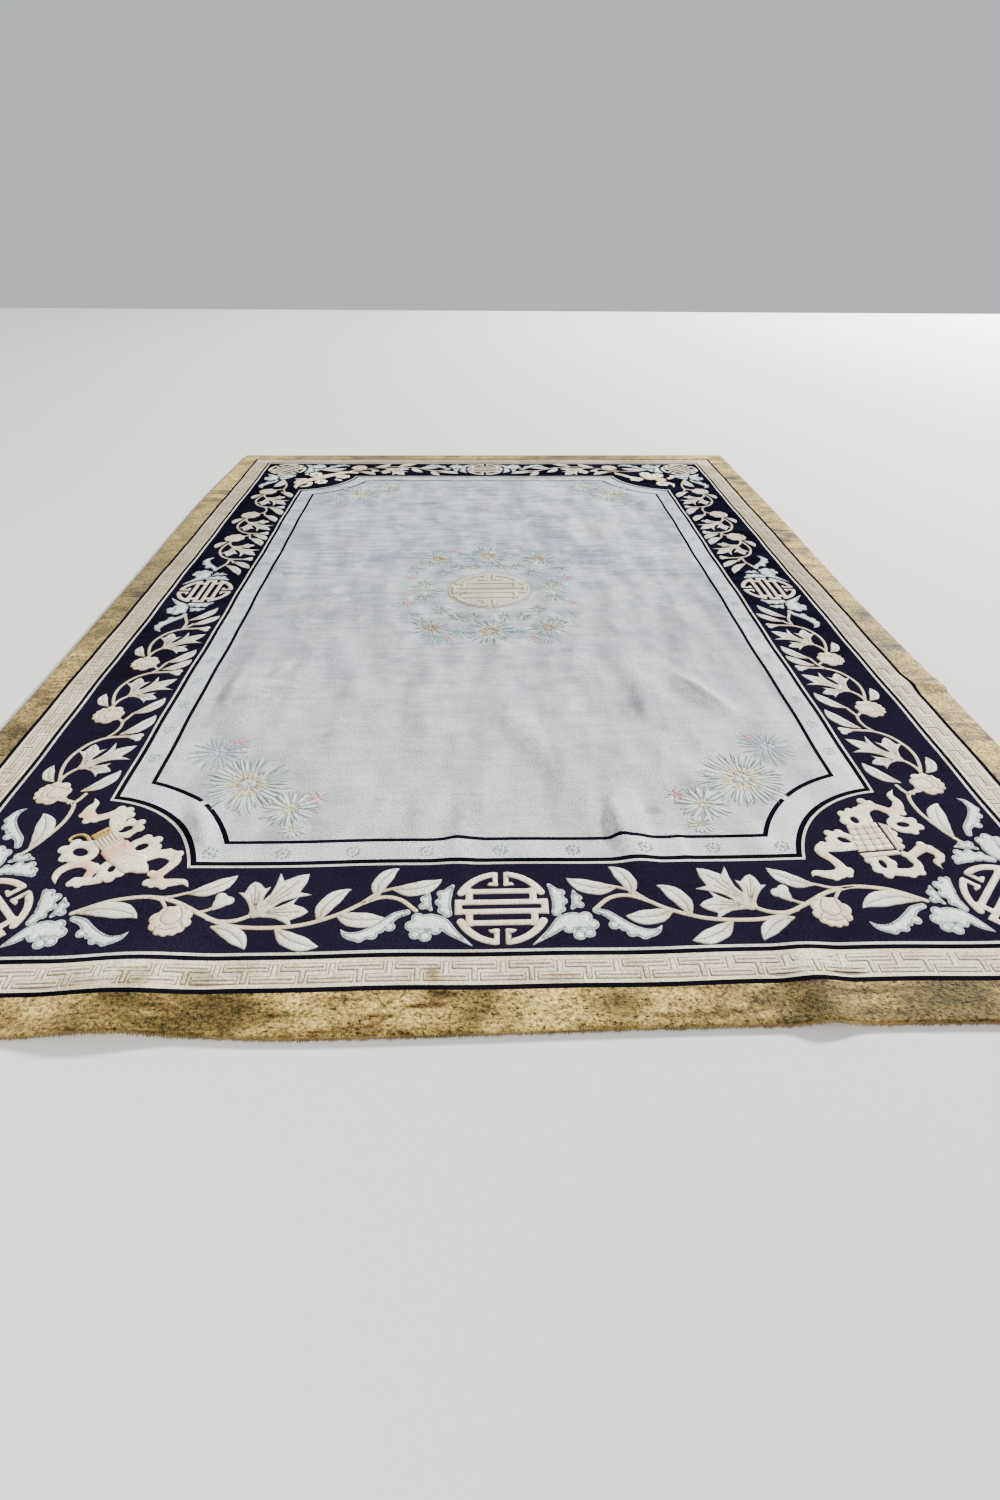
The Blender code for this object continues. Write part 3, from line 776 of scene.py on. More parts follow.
def endVine(signX, signY):  # the near left vine was knotted a little nearer to the middle
    shift = border["vineShift"] if signX < 0 and signY < 0 else 0.0
    return [[signX, 0, shift], [0, signY, signY * border["endLine"]]]


def sideStrip(signX, signY):
    return [[0, signX, signX * border["sideLine"]], [signY, 0, 0]]


def cornerX(signX, signY):  # the near right corner was knotted a little further out
    return signX * (border["cornerX"] + (border["cornerShift"] if signX > 0 > signY else 0.0))


def cornerStrips(signX, signY):  # from the corner medallion towards the middle of each side
    x, y = cornerX(signX, signY), signY * border["cornerY"]
    return ([[-signX, 0, x], [0, signY, y]], [[0, signX, x], [-signY, 0, y]])


# Along the end: the lines of the stems, then (base, tip, width, bend) of each leaf
endStems = (
    ((0.895, 0.004), (0.850, -0.020), (0.810, -0.032), (0.750, -0.036), (0.690, -0.020), (0.630, 0.013),
     (0.570, 0.041), (0.500, 0.049), (0.420, 0.043), (0.350, 0.018), (0.300, -0.012), (0.262, -0.026),
     (0.225, -0.018), (0.192, 0.012)),
    ((0.755, -0.036), (0.710, -0.034), (0.672, -0.046)),
    ((0.745, -0.034), (0.722, -0.026), (0.706, -0.006)),
    ((0.612, 0.024), (0.585, 0.032), (0.552, 0.028), (0.520, 0.012)),
    ((0.640, 0.010), (0.622, 0.004), (0.606, -0.006)),
    ((0.300, -0.012), (0.282, -0.022), (0.272, -0.034)),
    ((0.306, -0.010), (0.275, -0.038), (0.246, -0.050)),
)
endLeaves = (
    ((0.884, 0.002), (0.752, 0.024), 0.046, 0.12), ((0.672, -0.044), (0.584, -0.097), 0.040, -0.10),
    ((0.598, 0.046), (0.521, 0.103), 0.038, 0.12), ((0.470, 0.052), (0.378, 0.098), 0.040, -0.10),
    ((0.388, 0.036), (0.332, -0.050), 0.040, 0.14), ((0.354, 0.018), (0.254, 0.030), 0.042, -0.10),
    ((0.276, -0.026), (0.237, -0.109), 0.038, 0.14), ((0.246, -0.050), (0.142, -0.076), 0.042, -0.12),
)
# One repeat of the side, measured from its round flower, and its last leaf in each repeat
sideRepeats = (0.542, 0.834, 1.180)
sideStem = ((-0.2385, -0.074), (-0.237, -0.043), (-0.232, -0.007), (-0.206, 0.029), (-0.162, 0.051),
            (-0.122, 0.056), (-0.082, 0.049), (-0.046, 0.036), (-0.024, 0.033))
sideLilyStem = ((-0.045, 0.037), (-0.062, 0.035), (-0.082, 0.027), (-0.098, 0.013), (-0.106, 0.000))
sideLeaves = (
    ((-0.046, 0.0515), (-0.1145, 0.080), 0.030, -0.16), ((-0.0055, -0.036), (-0.088, -0.099), 0.038, 0.12),
)
sideLowerLeaf = (((0.039, -0.0385), (-0.024, -0.106), 0.036, 0.12),
                 ((0.098, -0.0385), (0.003, -0.103), 0.040, 0.12))
sideLinks = (
    ((-0.0055, -0.036), (0.016, -0.029), (0.036, -0.025), (0.060, -0.008)),
    ((-0.0055, -0.036), (0.020, -0.028), (0.035, -0.023), (0.062, -0.026), (0.089, -0.020), (0.113, -0.006)),
)
sideTwig = ((0.014, 0.004), (0.028, -0.014), (0.040, -0.023))


def lily(base, tips):  # three petals from one throat, each with a tooth on both sides of its tip
    base = np.array(base, dtype=float)
    parts, ribs = [], []
    for tip, width in tips:
        span = np.array(tip) - base
        size = np.hypot(*span)
        side = np.array([-span[1], span[0]])
        parts.append(stroke([base, base + 0.45 * span, base + 0.75 * span, tip],
                            [0.10 * size, 0.30 * width, 0.47 * width, 0.30 * width, 0.0012], (0.9, 0.3, 0.0),
                            12))
        for hand in (-1, 1):
            tooth = base + 0.74 * span + hand * 0.36 * side
            parts.append(stroke([base + 0.30 * span, base + 0.52 * span + hand * 0.10 * side, tooth],
                                [0.10 * size, 0.24 * width, 0.0012], (0.6, 0.1), 8))
        ribs.append([base + share * span for share in np.linspace(0.18, 0.80, 12)])
        for hand in (-1, 1):
            ribs.append([base + share * span + hand * share * 0.16 * side
                         for share in np.linspace(0.24, 0.58, 8)])
    return drawn(parts, grooves=ribs)


def roundFlower(x, y, radius):  # hangs from its twig: a dome petal, two at its sides and a frill
    down = math.radians(100)
    ahead = radius * np.array([math.cos(down), math.sin(down)])
    side = np.array([-ahead[1], ahead[0]])
    parts = [spot(x, y, 0.80 * radius, 0.3)]
    for angle, reach, size, tone in (
            (-158, 0.50, 0.40, 0.2), (158, 0.50, 0.40, 0.2), (-108, 0.60, 0.38, 0.8), (108, 0.60, 0.36, 0.1),
            (-66, 0.66, 0.31, 0.9), (66, 0.68, 0.30, 0.1), (-34, 0.76, 0.23, 0.5), (36, 0.76, 0.23, 0.3),
            (-11, 0.80, 0.20, 0.5), (13, 0.79, 0.21, 0.4)):
        turn = math.radians(angle)
        place = [x, y] + reach * (math.cos(turn) * ahead + math.sin(turn) * side)
        parts.append(spot(*place, size * radius, tone))
    folds = []
    for line in (((-0.66, -0.26), (-0.26, -0.42), (0.10, -0.36), (0.30, 0.0), (0.10, 0.38),
                  (-0.26, 0.46), (-0.66, 0.34)),
                 ((0.22, -0.40), (0.40, -0.56), (0.60, -0.60)), ((0.22, 0.42), (0.42, 0.54), (0.62, 0.56)),
                 ((0.50, -0.34), (0.58, -0.12), (0.57, 0.12), (0.50, 0.34))):
        folds.append([x, y] + smoothPath(line, 5 * len(line)) @ np.array([ahead, side]))
    return drawn(parts, grooves=folds)


def way(start, end):  # the start, the way from it to the end, and a step of 1 across
    start, span = np.array(start, dtype=float), np.subtract(end, start)
    return start, span, np.array([-span[1], span[0]]) / np.hypot(*span)


def heartBud(base, tip, width):
    base, span, side = way(base, tip)
    parts = [stroke([base, base + 0.55 * span], [0.12 * width, 0.40 * width], (0.8, 0.3), 6)]
    for hand in (-1, 1):
        parts.append(spot(*(base + 0.72 * span + hand * 0.24 * width * side), 0.28 * width, 0.1))
    return drawn(parts)


def cloudLeaves(corner):  # the scalloped leaves beside a medallion; the fans are fuller at the corners
    shift, tail = (0.0, (0.086, 0.086)) if corner else (-0.005, (0.066, 0.102))
    body = [(tail, (0.104, 0.070), (0.128, 0.046), (0.152, 0.042), (0.172, 0.048)),
            (0.002, 0.0105, 0.017, 0.023, 0.018)]
    lobes = ((0.139, 0.037, 0.0110), (0.158, 0.033, 0.0120), (0.176, 0.032, 0.0145), (0.188, 0.052, 0.0145),
             (0.180, 0.074, 0.0130), (0.160, 0.079, 0.0140), (0.140, 0.062, 0.0135))
    arm = [((0.199, 0.016), (0.222, 0.025), (0.240, 0.043), (0.266, 0.065), (0.294, 0.077), (0.317, 0.072),
            (0.329, 0.058)), (0.0080, 0.0100, 0.0120, 0.0135, 0.0130, 0.0080, 0.0015)]
    armLobes = ((0.232, 0.054, 0.0125), (0.266, 0.074, 0.0125), (0.290, 0.082, 0.0110),
                (0.250, 0.062, 0.0090))
    fan = [((0.116, 0.024), (0.124, 0.000), (0.125, -0.030), (0.108, -0.060)), (0.010, 0.014, 0.019, 0.007)]
    fanLobes = ((0.138, -0.042, 0.0120), (0.120, -0.055, 0.0110), (0.140, -0.016, 0.0110),
                (0.133, 0.008, 0.009))
    if not corner:
        fan = [((0.117, 0.020), (0.123, -0.004), (0.121, -0.030), (0.107, -0.056)),
               (0.011, 0.014, 0.0145, 0.005)]
        fanLobes = ((0.131, -0.035, 0.0100), (0.133, -0.011, 0.0110), (0.128, 0.011, 0.0100))
    slim = [((0.151, 0.009), (0.160, -0.007), (0.160, -0.022), (0.157, -0.040)),
            (0.0050, 0.0105, 0.0100, 0.0030)]
    slimLobes = ((0.166, -0.020, 0.0090), (0.168, 0.000, 0.0095))
    forms = []
    for strokes, spots in (((body, arm), lobes + armLobes), ((fan,), fanLobes), ((slim,), slimLobes)):
        parts = [stroke([(x + shift, y) for x, y in line], radii, (0.0, 0.0), 20) for line, radii in strokes]
        parts += [spot(x + shift, y, radius) for x, y, radius in spots]
        forms.append(drawn(parts, inset=0.0048))
    return forms


def fretMedallion(halfBar):  # round fretwork of four bars, radius 1
    parts = []
    for signX in (-1, 1):
        for signY in (-1, 1):
            turns = np.radians(np.linspace(25, 81, 9))
            arc = [(signX * 0.915 * math.cos(t), signY * 0.915 * math.sin(t)) for t in turns]
            parts.append(stroke(arc, [halfBar * 1.15, halfBar], count=14))
            parts.append(plate(signX * 0.115, signY * 0.775, halfBar * 0.75, 0.19, corner=0.01))
            parts.append(stroke([(signX * 0.10, signY * 0.615), (signX * 0.20, signY * 0.63),
                                 (signX * 0.30, signY * 0.60)], [0.055, 0.060, 0.004], count=6))
            parts.append(plate(signX * 0.66, signY * 0.31, halfBar, 0.20, corner=0.01))
    for height, reach in ((0.42, 0.86), (0.125, 0.955)):
        for signY in (-1, 1):
            parts.append(plate(0, signY * height, reach, halfBar * 0.95, corner=0.01))
    for signX in (-1, 1):
        parts.append(plate(signX * 0.885, 0, halfBar, 0.21, corner=0.01))
    return parts


def scaledParts(parts, size, grown=0.0):
    def resized(part):
        away, low, high = part

        def inside(points):
            gap, tone = away(points / size)
            return gap * size - grown, tone
        return inside, low * size - grown, high * size + grown
    return [resized(part) for part in parts]


stems, leaves, clouds, flowers, medallions = (newStore() for _ in range(5))


def carveEverywhere(store, form, strip, rise, slot=0):
    for signX, signY in quarters:
        carve(store, form, strip(signX, signY), rise, slot)


def stemForm(line, scale=1.0):  # thins by a tenth towards its tip
    radius = border["stem"] * scale
    return drawn([stroke(line, [radius, radius * 0.9], (0.5, 0.0), 6 * len(line) + 8)],
                 bevel=0.0030, fill=0.02)


for number, line in enumerate(endStems):
    carveEverywhere(stems, stemForm(line, 1.1 if number in (0, 3) else 0.85), endVine, border["stemRise"])
for row in endLeaves:
    carveEverywhere(leaves, leafForm(*row), endVine, border["leafRise"])
endLily = lily((0.520, 0.010), (((0.412, 0.008), 0.050), ((0.430, -0.099), 0.060), ((0.542, -0.078), 0.050)))
carveEverywhere(leaves, endLily, endVine, border["leafRise"])
carveEverywhere(leaves, heartBud((0.608, -0.002), (0.586, -0.040), 0.044), endVine, border["leafRise"])
carveEverywhere(flowers, roundFlower(0.683, 0.030, 0.045), endVine, border["flowerRise"])

for number, at in enumerate(sideRepeats):
    def along(points):
        return [(x + at, y) for x, y in points]
    for line in (sideStem, sideLilyStem):
        carveEverywhere(stems, stemForm(along(line)), sideStrip, border["stemRise"])
    for base, tip, width, bend in sideLeaves + sideLowerLeaf[number:number + 1]:
        carveEverywhere(leaves, leafForm(*along([base, tip]), width, bend), sideStrip, border["leafRise"])
    throat, low, main, high = along([(-0.106, 0.004), (-0.203, 0.012), (-0.195, -0.100), (-0.084, -0.074)])
    carveEverywhere(leaves, lily(throat, ((low, 0.044), (main, 0.046), (high, 0.038))), sideStrip,
                    border["leafRise"])
    carveEverywhere(leaves, heartBud(*along([(-0.238, -0.062), (-0.233, -0.104)]), 0.036), sideStrip,
                    border["leafRise"])
    carveEverywhere(flowers, roundFlower(at, 0.029, 0.046), sideStrip, border["flowerRise"])
    for line in sideLinks[number:number + 1] + (sideTwig,):
        carveEverywhere(stems, stemForm(along(line), 0.9), sideStrip, border["stemRise"])
for line in (((1.206, 0.002), (1.222, -0.036), (1.280, -0.042), (1.340, -0.025), (1.382, -0.004),
              (1.400, 0.012)),
             ((0.196, 0.016), (0.226, 0.004), (0.262, -0.010), (0.304, -0.010)),
             ((1.222, -0.034), (1.204, -0.044), (1.186, -0.050)),
             ((0.298, -0.012), (0.286, -0.026), (0.270, -0.034))):
    carveEverywhere(stems, stemForm(line, 1.05), sideStrip, border["stemRise"])
for row in (((1.374, -0.006), (1.256, 0.020), 0.046, 0.12), ((0.242, -0.014), (0.144, -0.086), 0.034, 0.10),
            ((0.276, -0.034), (0.208, -0.110), 0.034, 0.08)):
    carveEverywhere(leaves, leafForm(*row), sideStrip, border["leafRise"])

for form in cloudLeaves(False):
    for strip in (endStrip, sideStrip):
        carveEverywhere(clouds, form, strip, border["leafRise"])
for form in cloudLeaves(True):
    for signX, signY in quarters:
        for move in cornerStrips(signX, signY):
            carve(clouds, form, move, border["leafRise"])

disc = drawn(scaledParts(fretMedallion(0.079), border["disc"]), cell=0.0020, bevel=0.0024)
for turn, x, y in ([(0, 0, s * (border["endLine"] + 0.003)) for s in (-1, 1)]
                   + [(90, s * border["sideLine"], 0) for s in (-1, 1)]
                   + [(-45 * sx * sy, cornerX(sx, sy), sy * border["cornerY"]) for sx, sy in quarters]):
    c, s = math.cos(math.radians(turn)), math.sin(math.radians(turn))
    carve(medallions, disc, [[c, -s, x], [s, c, y]], border["discRise"])

finishStore("vineStems", stems, ["stem"])
finishStore("vineLeaves", leaves, ["leaf"])
finishStore("cloudLeaves", clouds, ["cloud"])
finishStore("roundFlowers", flowers, ["flower"])
finishStore("fretMedallions", medallions, ["disc"])


# The treasures in the four notches: a body tied with scalloped ribbons. Each place is |x|, |y|.

def ribbonLoop(x, y, turn, long, wide, thick):  # round a hole at x, y, with lobes on its far side
    c, s = math.cos(math.radians(turn)), math.sin(math.radians(turn))

    def at(along, across):
        return (x + along * c - across * s, y + along * s + across * c)
    ring = [at(long * math.cos(t), wide * math.sin(t)) for t in np.linspace(0, 2 * math.pi, 13)]
    parts = [stroke(ring, [thick, thick], count=26)]
    for degrees, reach in ((-92, 1.22), (-38, 1.34), (12, 1.38), (62, 1.30)):
        t = math.radians(degrees)
        parts.append(spot(*at(reach * long * math.cos(t), reach * wide * math.sin(t)), 1.08 * thick))
    return parts


def bar(start, end, halfWide, blush=0.0):
    start, span, _ = way(start, end)
    return plate(*(start + span / 2), np.hypot(*span) / 2, halfWide, math.atan2(*span[::-1]), 0.004, blush)


def pleat(start, end, first, last, beside):  # a furrow along the way from start to end, off its middle
    start, span, side = way(start, end)
    return [start + share * span + beside * side for share in np.linspace(first, last, 9)]


def between(start, end, share, reach):  # a short line across the way from start to end
    start, span, side = way(start, end)
    return [start + share * span + step * reach * side for step in np.linspace(-1, 1, 9)]


def panel(corners, blush=0.0, soft=0.002):  # a flat face with straight sides, given by its corners
    corners = np.array(corners)
    middle = corners.mean(axis=0)
    spans = np.roll(corners, -1, axis=0) - corners
    out = np.column_stack([spans[:, 1], -spans[:, 0]]) / np.hypot(*spans.T)[:, None]
    out *= np.sign(((corners - middle) * out).sum(axis=1))[:, None]

    def away(points):
        over = np.stack([(points - corner) @ side for corner, side in zip(corners, out)])
        gap = np.hypot(np.maximum(over[0::2].max(axis=0) + soft, 0),
                       np.maximum(over[1::2].max(axis=0) + soft, 0))
        return np.where(over.max(axis=0) > -soft, gap - soft, over.max(axis=0)), np.full(len(points), blush)
    return away, corners.min(axis=0), corners.max(axis=0)


def weave(corners, acrossCount, alongCount):  # lattice lines between the sides of a four-cornered face
    a, b, c, d = np.array(corners)
    ends = [(a + (b - a) * i / acrossCount, d + (c - d) * i / acrossCount) for i in range(1, acrossCount)]
    ends += [(a + (d - a) * i / alongCount, b + (c - b) * i / alongCount) for i in range(1, alongCount)]
    return [[start + t * (end - start) for t in np.linspace(0.04, 0.96, 22)] for start, end in ends]


boxFront = ((0.819, 1.333), (0.895, 1.322), (0.898, 1.414), (0.809, 1.424))
hornAxis = ((0.908, 1.328), (0.838, 1.402))
treasureForms = {
    "horn": {
        "corner": (-1, -1),
        # (knots, radii, blush) of each ribbon
        "ribbons": (
            (((0.887, 1.308), (0.895, 1.283), (0.901, 1.256), (0.925, 1.267), (0.952, 1.276), (0.974, 1.260),
              (0.976, 1.240), (0.971, 1.222), (0.981, 1.203)),
             (0.016, 0.020, 0.017, 0.0115, 0.013, 0.016, 0.013, 0.008, 0.001),
             (0, 0, 0, 0.2, 0.9, 0.8, 0.2, 0, 0)),
            (((0.780, 1.405), (0.755, 1.395), (0.727, 1.402), (0.715, 1.422), (0.727, 1.447), (0.740, 1.467),
              (0.727, 1.487), (0.700, 1.487), (0.677, 1.486), (0.662, 1.502)),
             (0.014, 0.014, 0.015, 0.013, 0.011, 0.014, 0.014, 0.012, 0.008, 0.001),
             (0, 0, 0, 0, 0.3, 0.9, 0.6, 0.1, 0, 0)),
            (((0.860, 1.476), (0.885, 1.479), (0.910, 1.478)), (0.010, 0.012, 0.012), (0.2, 0)),
            (((0.888, 1.460), (0.887, 1.440), (0.910, 1.427), (0.935, 1.430), (0.954, 1.446), (0.957, 1.465),
              (0.949, 1.486)),
             (0.011, 0.012, 0.0115, 0.012, 0.011, 0.008, 0.001), (1, 0.7, 0.8, 0.5, 0.1, 0, 0)),
        ),
        "lobes": ((0.875, 1.265, 0.013), (0.883, 1.247, 0.012), (0.903, 1.243, 0.012), (0.967, 1.285, 0.011),
                  (0.985, 1.264, 0.010), (0.948, 1.282, 0.010), (0.740, 1.390, 0.011), (0.713, 1.400, 0.011),
                  (0.754, 1.457, 0.010), (0.754, 1.485, 0.011), (0.740, 1.492, 0.010), (0.715, 1.499, 0.009),
                  (0.917, 1.485, 0.010), (0.900, 1.488, 0.010), (0.886, 1.433, 0.010)),
        "loops": ((0.935, 1.390, -22, 0.0310, 0.0235, 0.0120), (0.805, 1.373, 211, 0.026, 0.0215, 0.0115),
                  (0.846, 1.442, 90, 0.021, 0.0190, 0.0115), (0.864, 1.314, 214, 0.026, 0.0190, 0.0100)),
        # (parts, cuts, finish) of each part of the body
        "body": (
            ([bar((0.904, 1.338), (0.862, 1.376), 0.0265), bar((0.868, 1.371), (0.838, 1.402), 0.0315, 0.9),
              stroke([(0.842, 1.398), (0.812, 1.422), (0.784, 1.440), (0.763, 1.455)],
                     [0.031, 0.027, 0.017, 0.002],
                     (0.3, 0.0, 0.0), 10), spot(0.797, 1.416, 0.021), spot(0.812, 1.437, 0.019)],
             [pleat(*hornAxis, 0.13, 0.42, beside * 0.0041) for beside in (-5, -3, -1, 1, 3, 5)]
             + [between(*hornAxis, 0.49, 0.027)], 1),
            ([bar((0.921, 1.322), (0.900, 1.341), 0.0215)],
             [between((0.921, 1.322), (0.900, 1.341), 0.5, 0.016)], 2),
            ([stroke([(0.931, 1.352), (0.940, 1.341), (0.955, 1.333), (0.971, 1.337), (0.977, 1.349),
                      (0.969, 1.356)],
                     [0.0050, 0.0040, 0.0036], count=16)], (), 2),
        ),
    },
    "basket": {
        "corner": (1, -1),
        "ribbons": (
            (((0.880, 1.313), (0.882, 1.285), (0.900, 1.265), (0.925, 1.269), (0.951, 1.286), (0.972, 1.275),
              (0.982, 1.251), (0.976, 1.226), (0.992, 1.203)),
             (0.013, 0.015, 0.018, 0.011, 0.014, 0.015, 0.012, 0.009, 0.001),
             (0, 0, 0, 0.5, 0.8, 0.7, 0.3, 0, 0)),
            (((0.812, 1.404), (0.770, 1.406), (0.736, 1.408), (0.726, 1.424), (0.742, 1.446), (0.751, 1.470),
              (0.742, 1.489), (0.715, 1.492), (0.688, 1.486), (0.678, 1.497)),
             (0.012, 0.016, 0.016, 0.013, 0.011, 0.013, 0.015, 0.013, 0.008, 0.001),
             (0, 0, 0, 0.3, 0.4, 0.1, 0, 0, 0, 0)),
            (((0.862, 1.484), (0.900, 1.486), (0.920, 1.478), (0.928, 1.460), (0.922, 1.440), (0.942, 1.424),
              (0.967, 1.411), (0.987, 1.427), (0.986, 1.447), (0.973, 1.456), (0.977, 1.477)),
             (0.012, 0.013, 0.012, 0.010, 0.011, 0.011, 0.014, 0.012, 0.010, 0.008, 0.001),
             (0, 0, 0, 0, 0.1, 0.4, 0.6, 0.5, 0.4, 0.4, 0)),
        ),
        "lobes": ((0.895, 1.246, 0.012), (0.913, 1.253, 0.010), (0.870, 1.277, 0.011), (0.947, 1.298, 0.010),
                  (0.975, 1.290, 0.011), (0.723, 1.417, 0.011), (0.740, 1.397, 0.010), (0.765, 1.480, 0.011),
                  (0.760, 1.492, 0.010), (0.728, 1.501, 0.010), (0.762, 1.390, 0.012), (0.900, 1.493, 0.010),
                  (0.924, 1.486, 0.010), (0.965, 1.400, 0.011), (0.980, 1.412, 0.011), (0.993, 1.434, 0.010),
                  (0.912, 1.430, 0.010)),
        "loops": ((0.849, 1.314, -98, 0.023, 0.0205, 0.0115), (0.957, 1.332, 4, 0.026, 0.0195, 0.0110),
                  (0.794, 1.384, 214, 0.026, 0.0190, 0.0105), (0.849, 1.460, 84, 0.024, 0.0180, 0.0110)),
        "body": (
            ([panel(boxFront, 0.12)], weave(boxFront, 4, 5), 1),
            ([panel(((0.899, 1.323), (0.922, 1.336), (0.915, 1.420), (0.901, 1.420))),
              spot(0.919, 1.362, 0.010),
              spot(0.919, 1.384, 0.010), spot(0.915, 1.404, 0.010)],
             [[(0.910 - 0.001 * t, 1.334 + 0.082 * t) for t in np.linspace(0, 1, 14)]], 1),
            ([panel(((0.808, 1.427), (0.901, 1.417), (0.908, 1.431), (0.815, 1.443))),
              spot(0.821, 1.450, 0.010)],
             (), 1),
        ),
    },
    "flute": {
        "corner": (-1, 1),
        "ribbons": (
            (((0.930, 1.336), (0.958, 1.308), (0.968, 1.270), (0.962, 1.234)), (0.013, 0.014, 0.012, 0.001),
             (0, 0.4, 0)),
            (((0.905, 1.330), (0.904, 1.296), (0.918, 1.272), (0.940, 1.266)), (0.013, 0.013, 0.012, 0.008),
             (0, 0.3, 0)),
            (((0.765, 1.500), (0.730, 1.512), (0.694, 1.502), (0.676, 1.512)), (0.013, 0.013, 0.011, 0.001),
             (0, 0.5, 0)),
            (((0.944, 1.392), (0.972, 1.388), (0.998, 1.396)), (0.012, 0.012, 0.001), (0, 0.5, 0)),
        ),
        "lobes": ((0.775, 1.384, 0.013), (0.757, 1.372, 0.012), (0.948, 1.474, 0.011), (0.720, 1.524, 0.011)),
        "loops": ((0.950, 1.348, -38, 0.024, 0.018, 0.012), (0.852, 1.350, -95, 0.022, 0.018, 0.012),
                  (0.756, 1.438, 190, 0.024, 0.018, 0.012), (0.898, 1.466, 70, 0.024, 0.020, 0.012)),
        "body": (([stroke([(0.926, 1.362), (0.880, 1.400), (0.826, 1.450), (0.764, 1.500)],
                          [0.018, 0.027, 0.023, 0.012], (0.1, 0.5, 0.2, 0.0), 12)],
                  [between((0.926, 1.362), (0.764, 1.500), share, 0.022)
                   for share in (0.18, 0.34, 0.62, 0.78)], 1),),
    },
    "gourd": {
        "corner": (1, 1),
        "ribbons": (
            (((0.800, 1.410), (0.766, 1.430), (0.745, 1.456), (0.712, 1.486), (0.700, 1.512)),
             (0.014, 0.015, 0.013, 0.012, 0.001), (0, 0.3, 0.5, 0)),
            (((0.975, 1.402), (1.000, 1.430), (0.992, 1.468)), (0.012, 0.013, 0.001), (0, 0.7, 0)),
            (((0.950, 1.330), (0.974, 1.300), (0.972, 1.250)), (0.012, 0.012, 0.001), (0, 0.3, 0)),
        ),
        "lobes": ((0.756, 1.444, 0.012), (0.776, 1.416, 0.012), (0.906, 1.296, 0.012)),
        "loops": ((0.806, 1.390, 205, 0.022, 0.017, 0.012), (0.864, 1.476, 95, 0.020, 0.017, 0.012),
                  (0.922, 1.452, 60, 0.022, 0.018, 0.012), (0.922, 1.316, -75, 0.022, 0.018, 0.012)),
        "body": (([spot(0.878, 1.414, 0.038, 0.2), spot(0.926, 1.376, 0.030, 0.5),
                   stroke([(0.860, 1.430), (0.846, 1.452)], [0.022, 0.016], count=4)],
                  [between((0.926, 1.376), (0.878, 1.414), share, 0.024) for share in (0.35, 0.60)], 1),),
    },
}


treasures = newStore()
for made in treasureForms.values():
    signX, signY = made["corner"]
    move = [[signX, 0, 0], [0, signY, 0]]
    parts = [stroke(knots, radii, blush, 5 * len(knots)) for knots, radii, blush in made["ribbons"]]
    parts += [spot(*lobe) for lobe in made["lobes"]]
    for row in made["loops"]:
        parts += ribbonLoop(*row)
    carve(treasures, drawn(parts, cell=0.0022, bevel=0.0028), move, 0.0016)
    for parts, cuts, finish in made["body"]:
        carve(treasures, drawn(parts, grooves=cuts, cell=0.0022, bevel=0.0026), move, 0.0030, finish)
finishStore("treasures", treasures, ["ribbon", "emblem", "gilt"])


# Copies: one small carved form set on many points, in one tree used for each kind

def makeCopiesTree():
    tree = bpy.data.node_groups.new("scatterCopies", "GeometryNodeTree")
    for label, kind, way in (("Points", "Geometry", "INPUT"), ("Piece", "Object", "INPUT"),
                             ("Finish", "Material", "INPUT"), ("Jitter", "Float", "INPUT"),
                             ("Seed", "Int", "INPUT"), ("Copies", "Geometry", "OUTPUT")):
        tree.interface.new_socket(label, in_out=way, socket_type="NodeSocket" + kind)
    given = addNode(tree, "NodeGroupInput").outputs
    turn, long, wide, high = (
        addNode(tree, "GeometryNodeInputNamedAttribute", {"data_type": "FLOAT", "Name": label}).outputs[0]
        for label in ("turn", "long", "wide", "high"))
    otherSeed = addNode(tree, "ShaderNodeMath", {"operation": "ADD", 0: given["Seed"], 1: 7.0}).outputs[0]
    turning, growing = (
        addNode(tree, "FunctionNodeRandomValue", {
            "data_type": "FLOAT", 2: -reach, 3: reach, "Seed": seed}).outputs[1]
        for reach, seed in ((0.6, given["Seed"]), (1.0, otherSeed)))
    angle = addNode(tree, "ShaderNodeMath", {
        "operation": "MULTIPLY_ADD", 0: turning, 1: given["Jitter"], 2: turn}).outputs[0]
    growth = addNode(tree, "ShaderNodeMath", {
        "operation": "MULTIPLY_ADD", 0: growing, 1: given["Jitter"], 2: 1.0}).outputs[0]
    grown = addNode(tree, "ShaderNodeMath", {"operation": "MULTIPLY", 0: long, 1: growth}).outputs[0]
    facing = addNode(tree, "ShaderNodeCombineXYZ", {"Z": angle}).outputs[0]
    size = addNode(tree, "ShaderNodeCombineXYZ", {"X": grown, "Y": wide, "Z": high}).outputs[0]
    piece = addNode(tree, "GeometryNodeObjectInfo", {"Object": given["Piece"]}).outputs["Geometry"]
    spread = addNode(tree, "GeometryNodeInstanceOnPoints", {
        "Points": given["Points"], "Instance": piece, "Rotation": facing, "Scale": size}).outputs[0]
    real = addNode(tree, "GeometryNodeRealizeInstances", {0: spread}).outputs[0]
    dyed = addNode(tree, "GeometryNodeSetMaterial",
                   {"Geometry": real, "Material": given["Finish"]}).outputs[0]
    addNode(tree, "NodeGroupOutput", {0: dyed})
    return tree


copiesTree = makeCopiesTree()


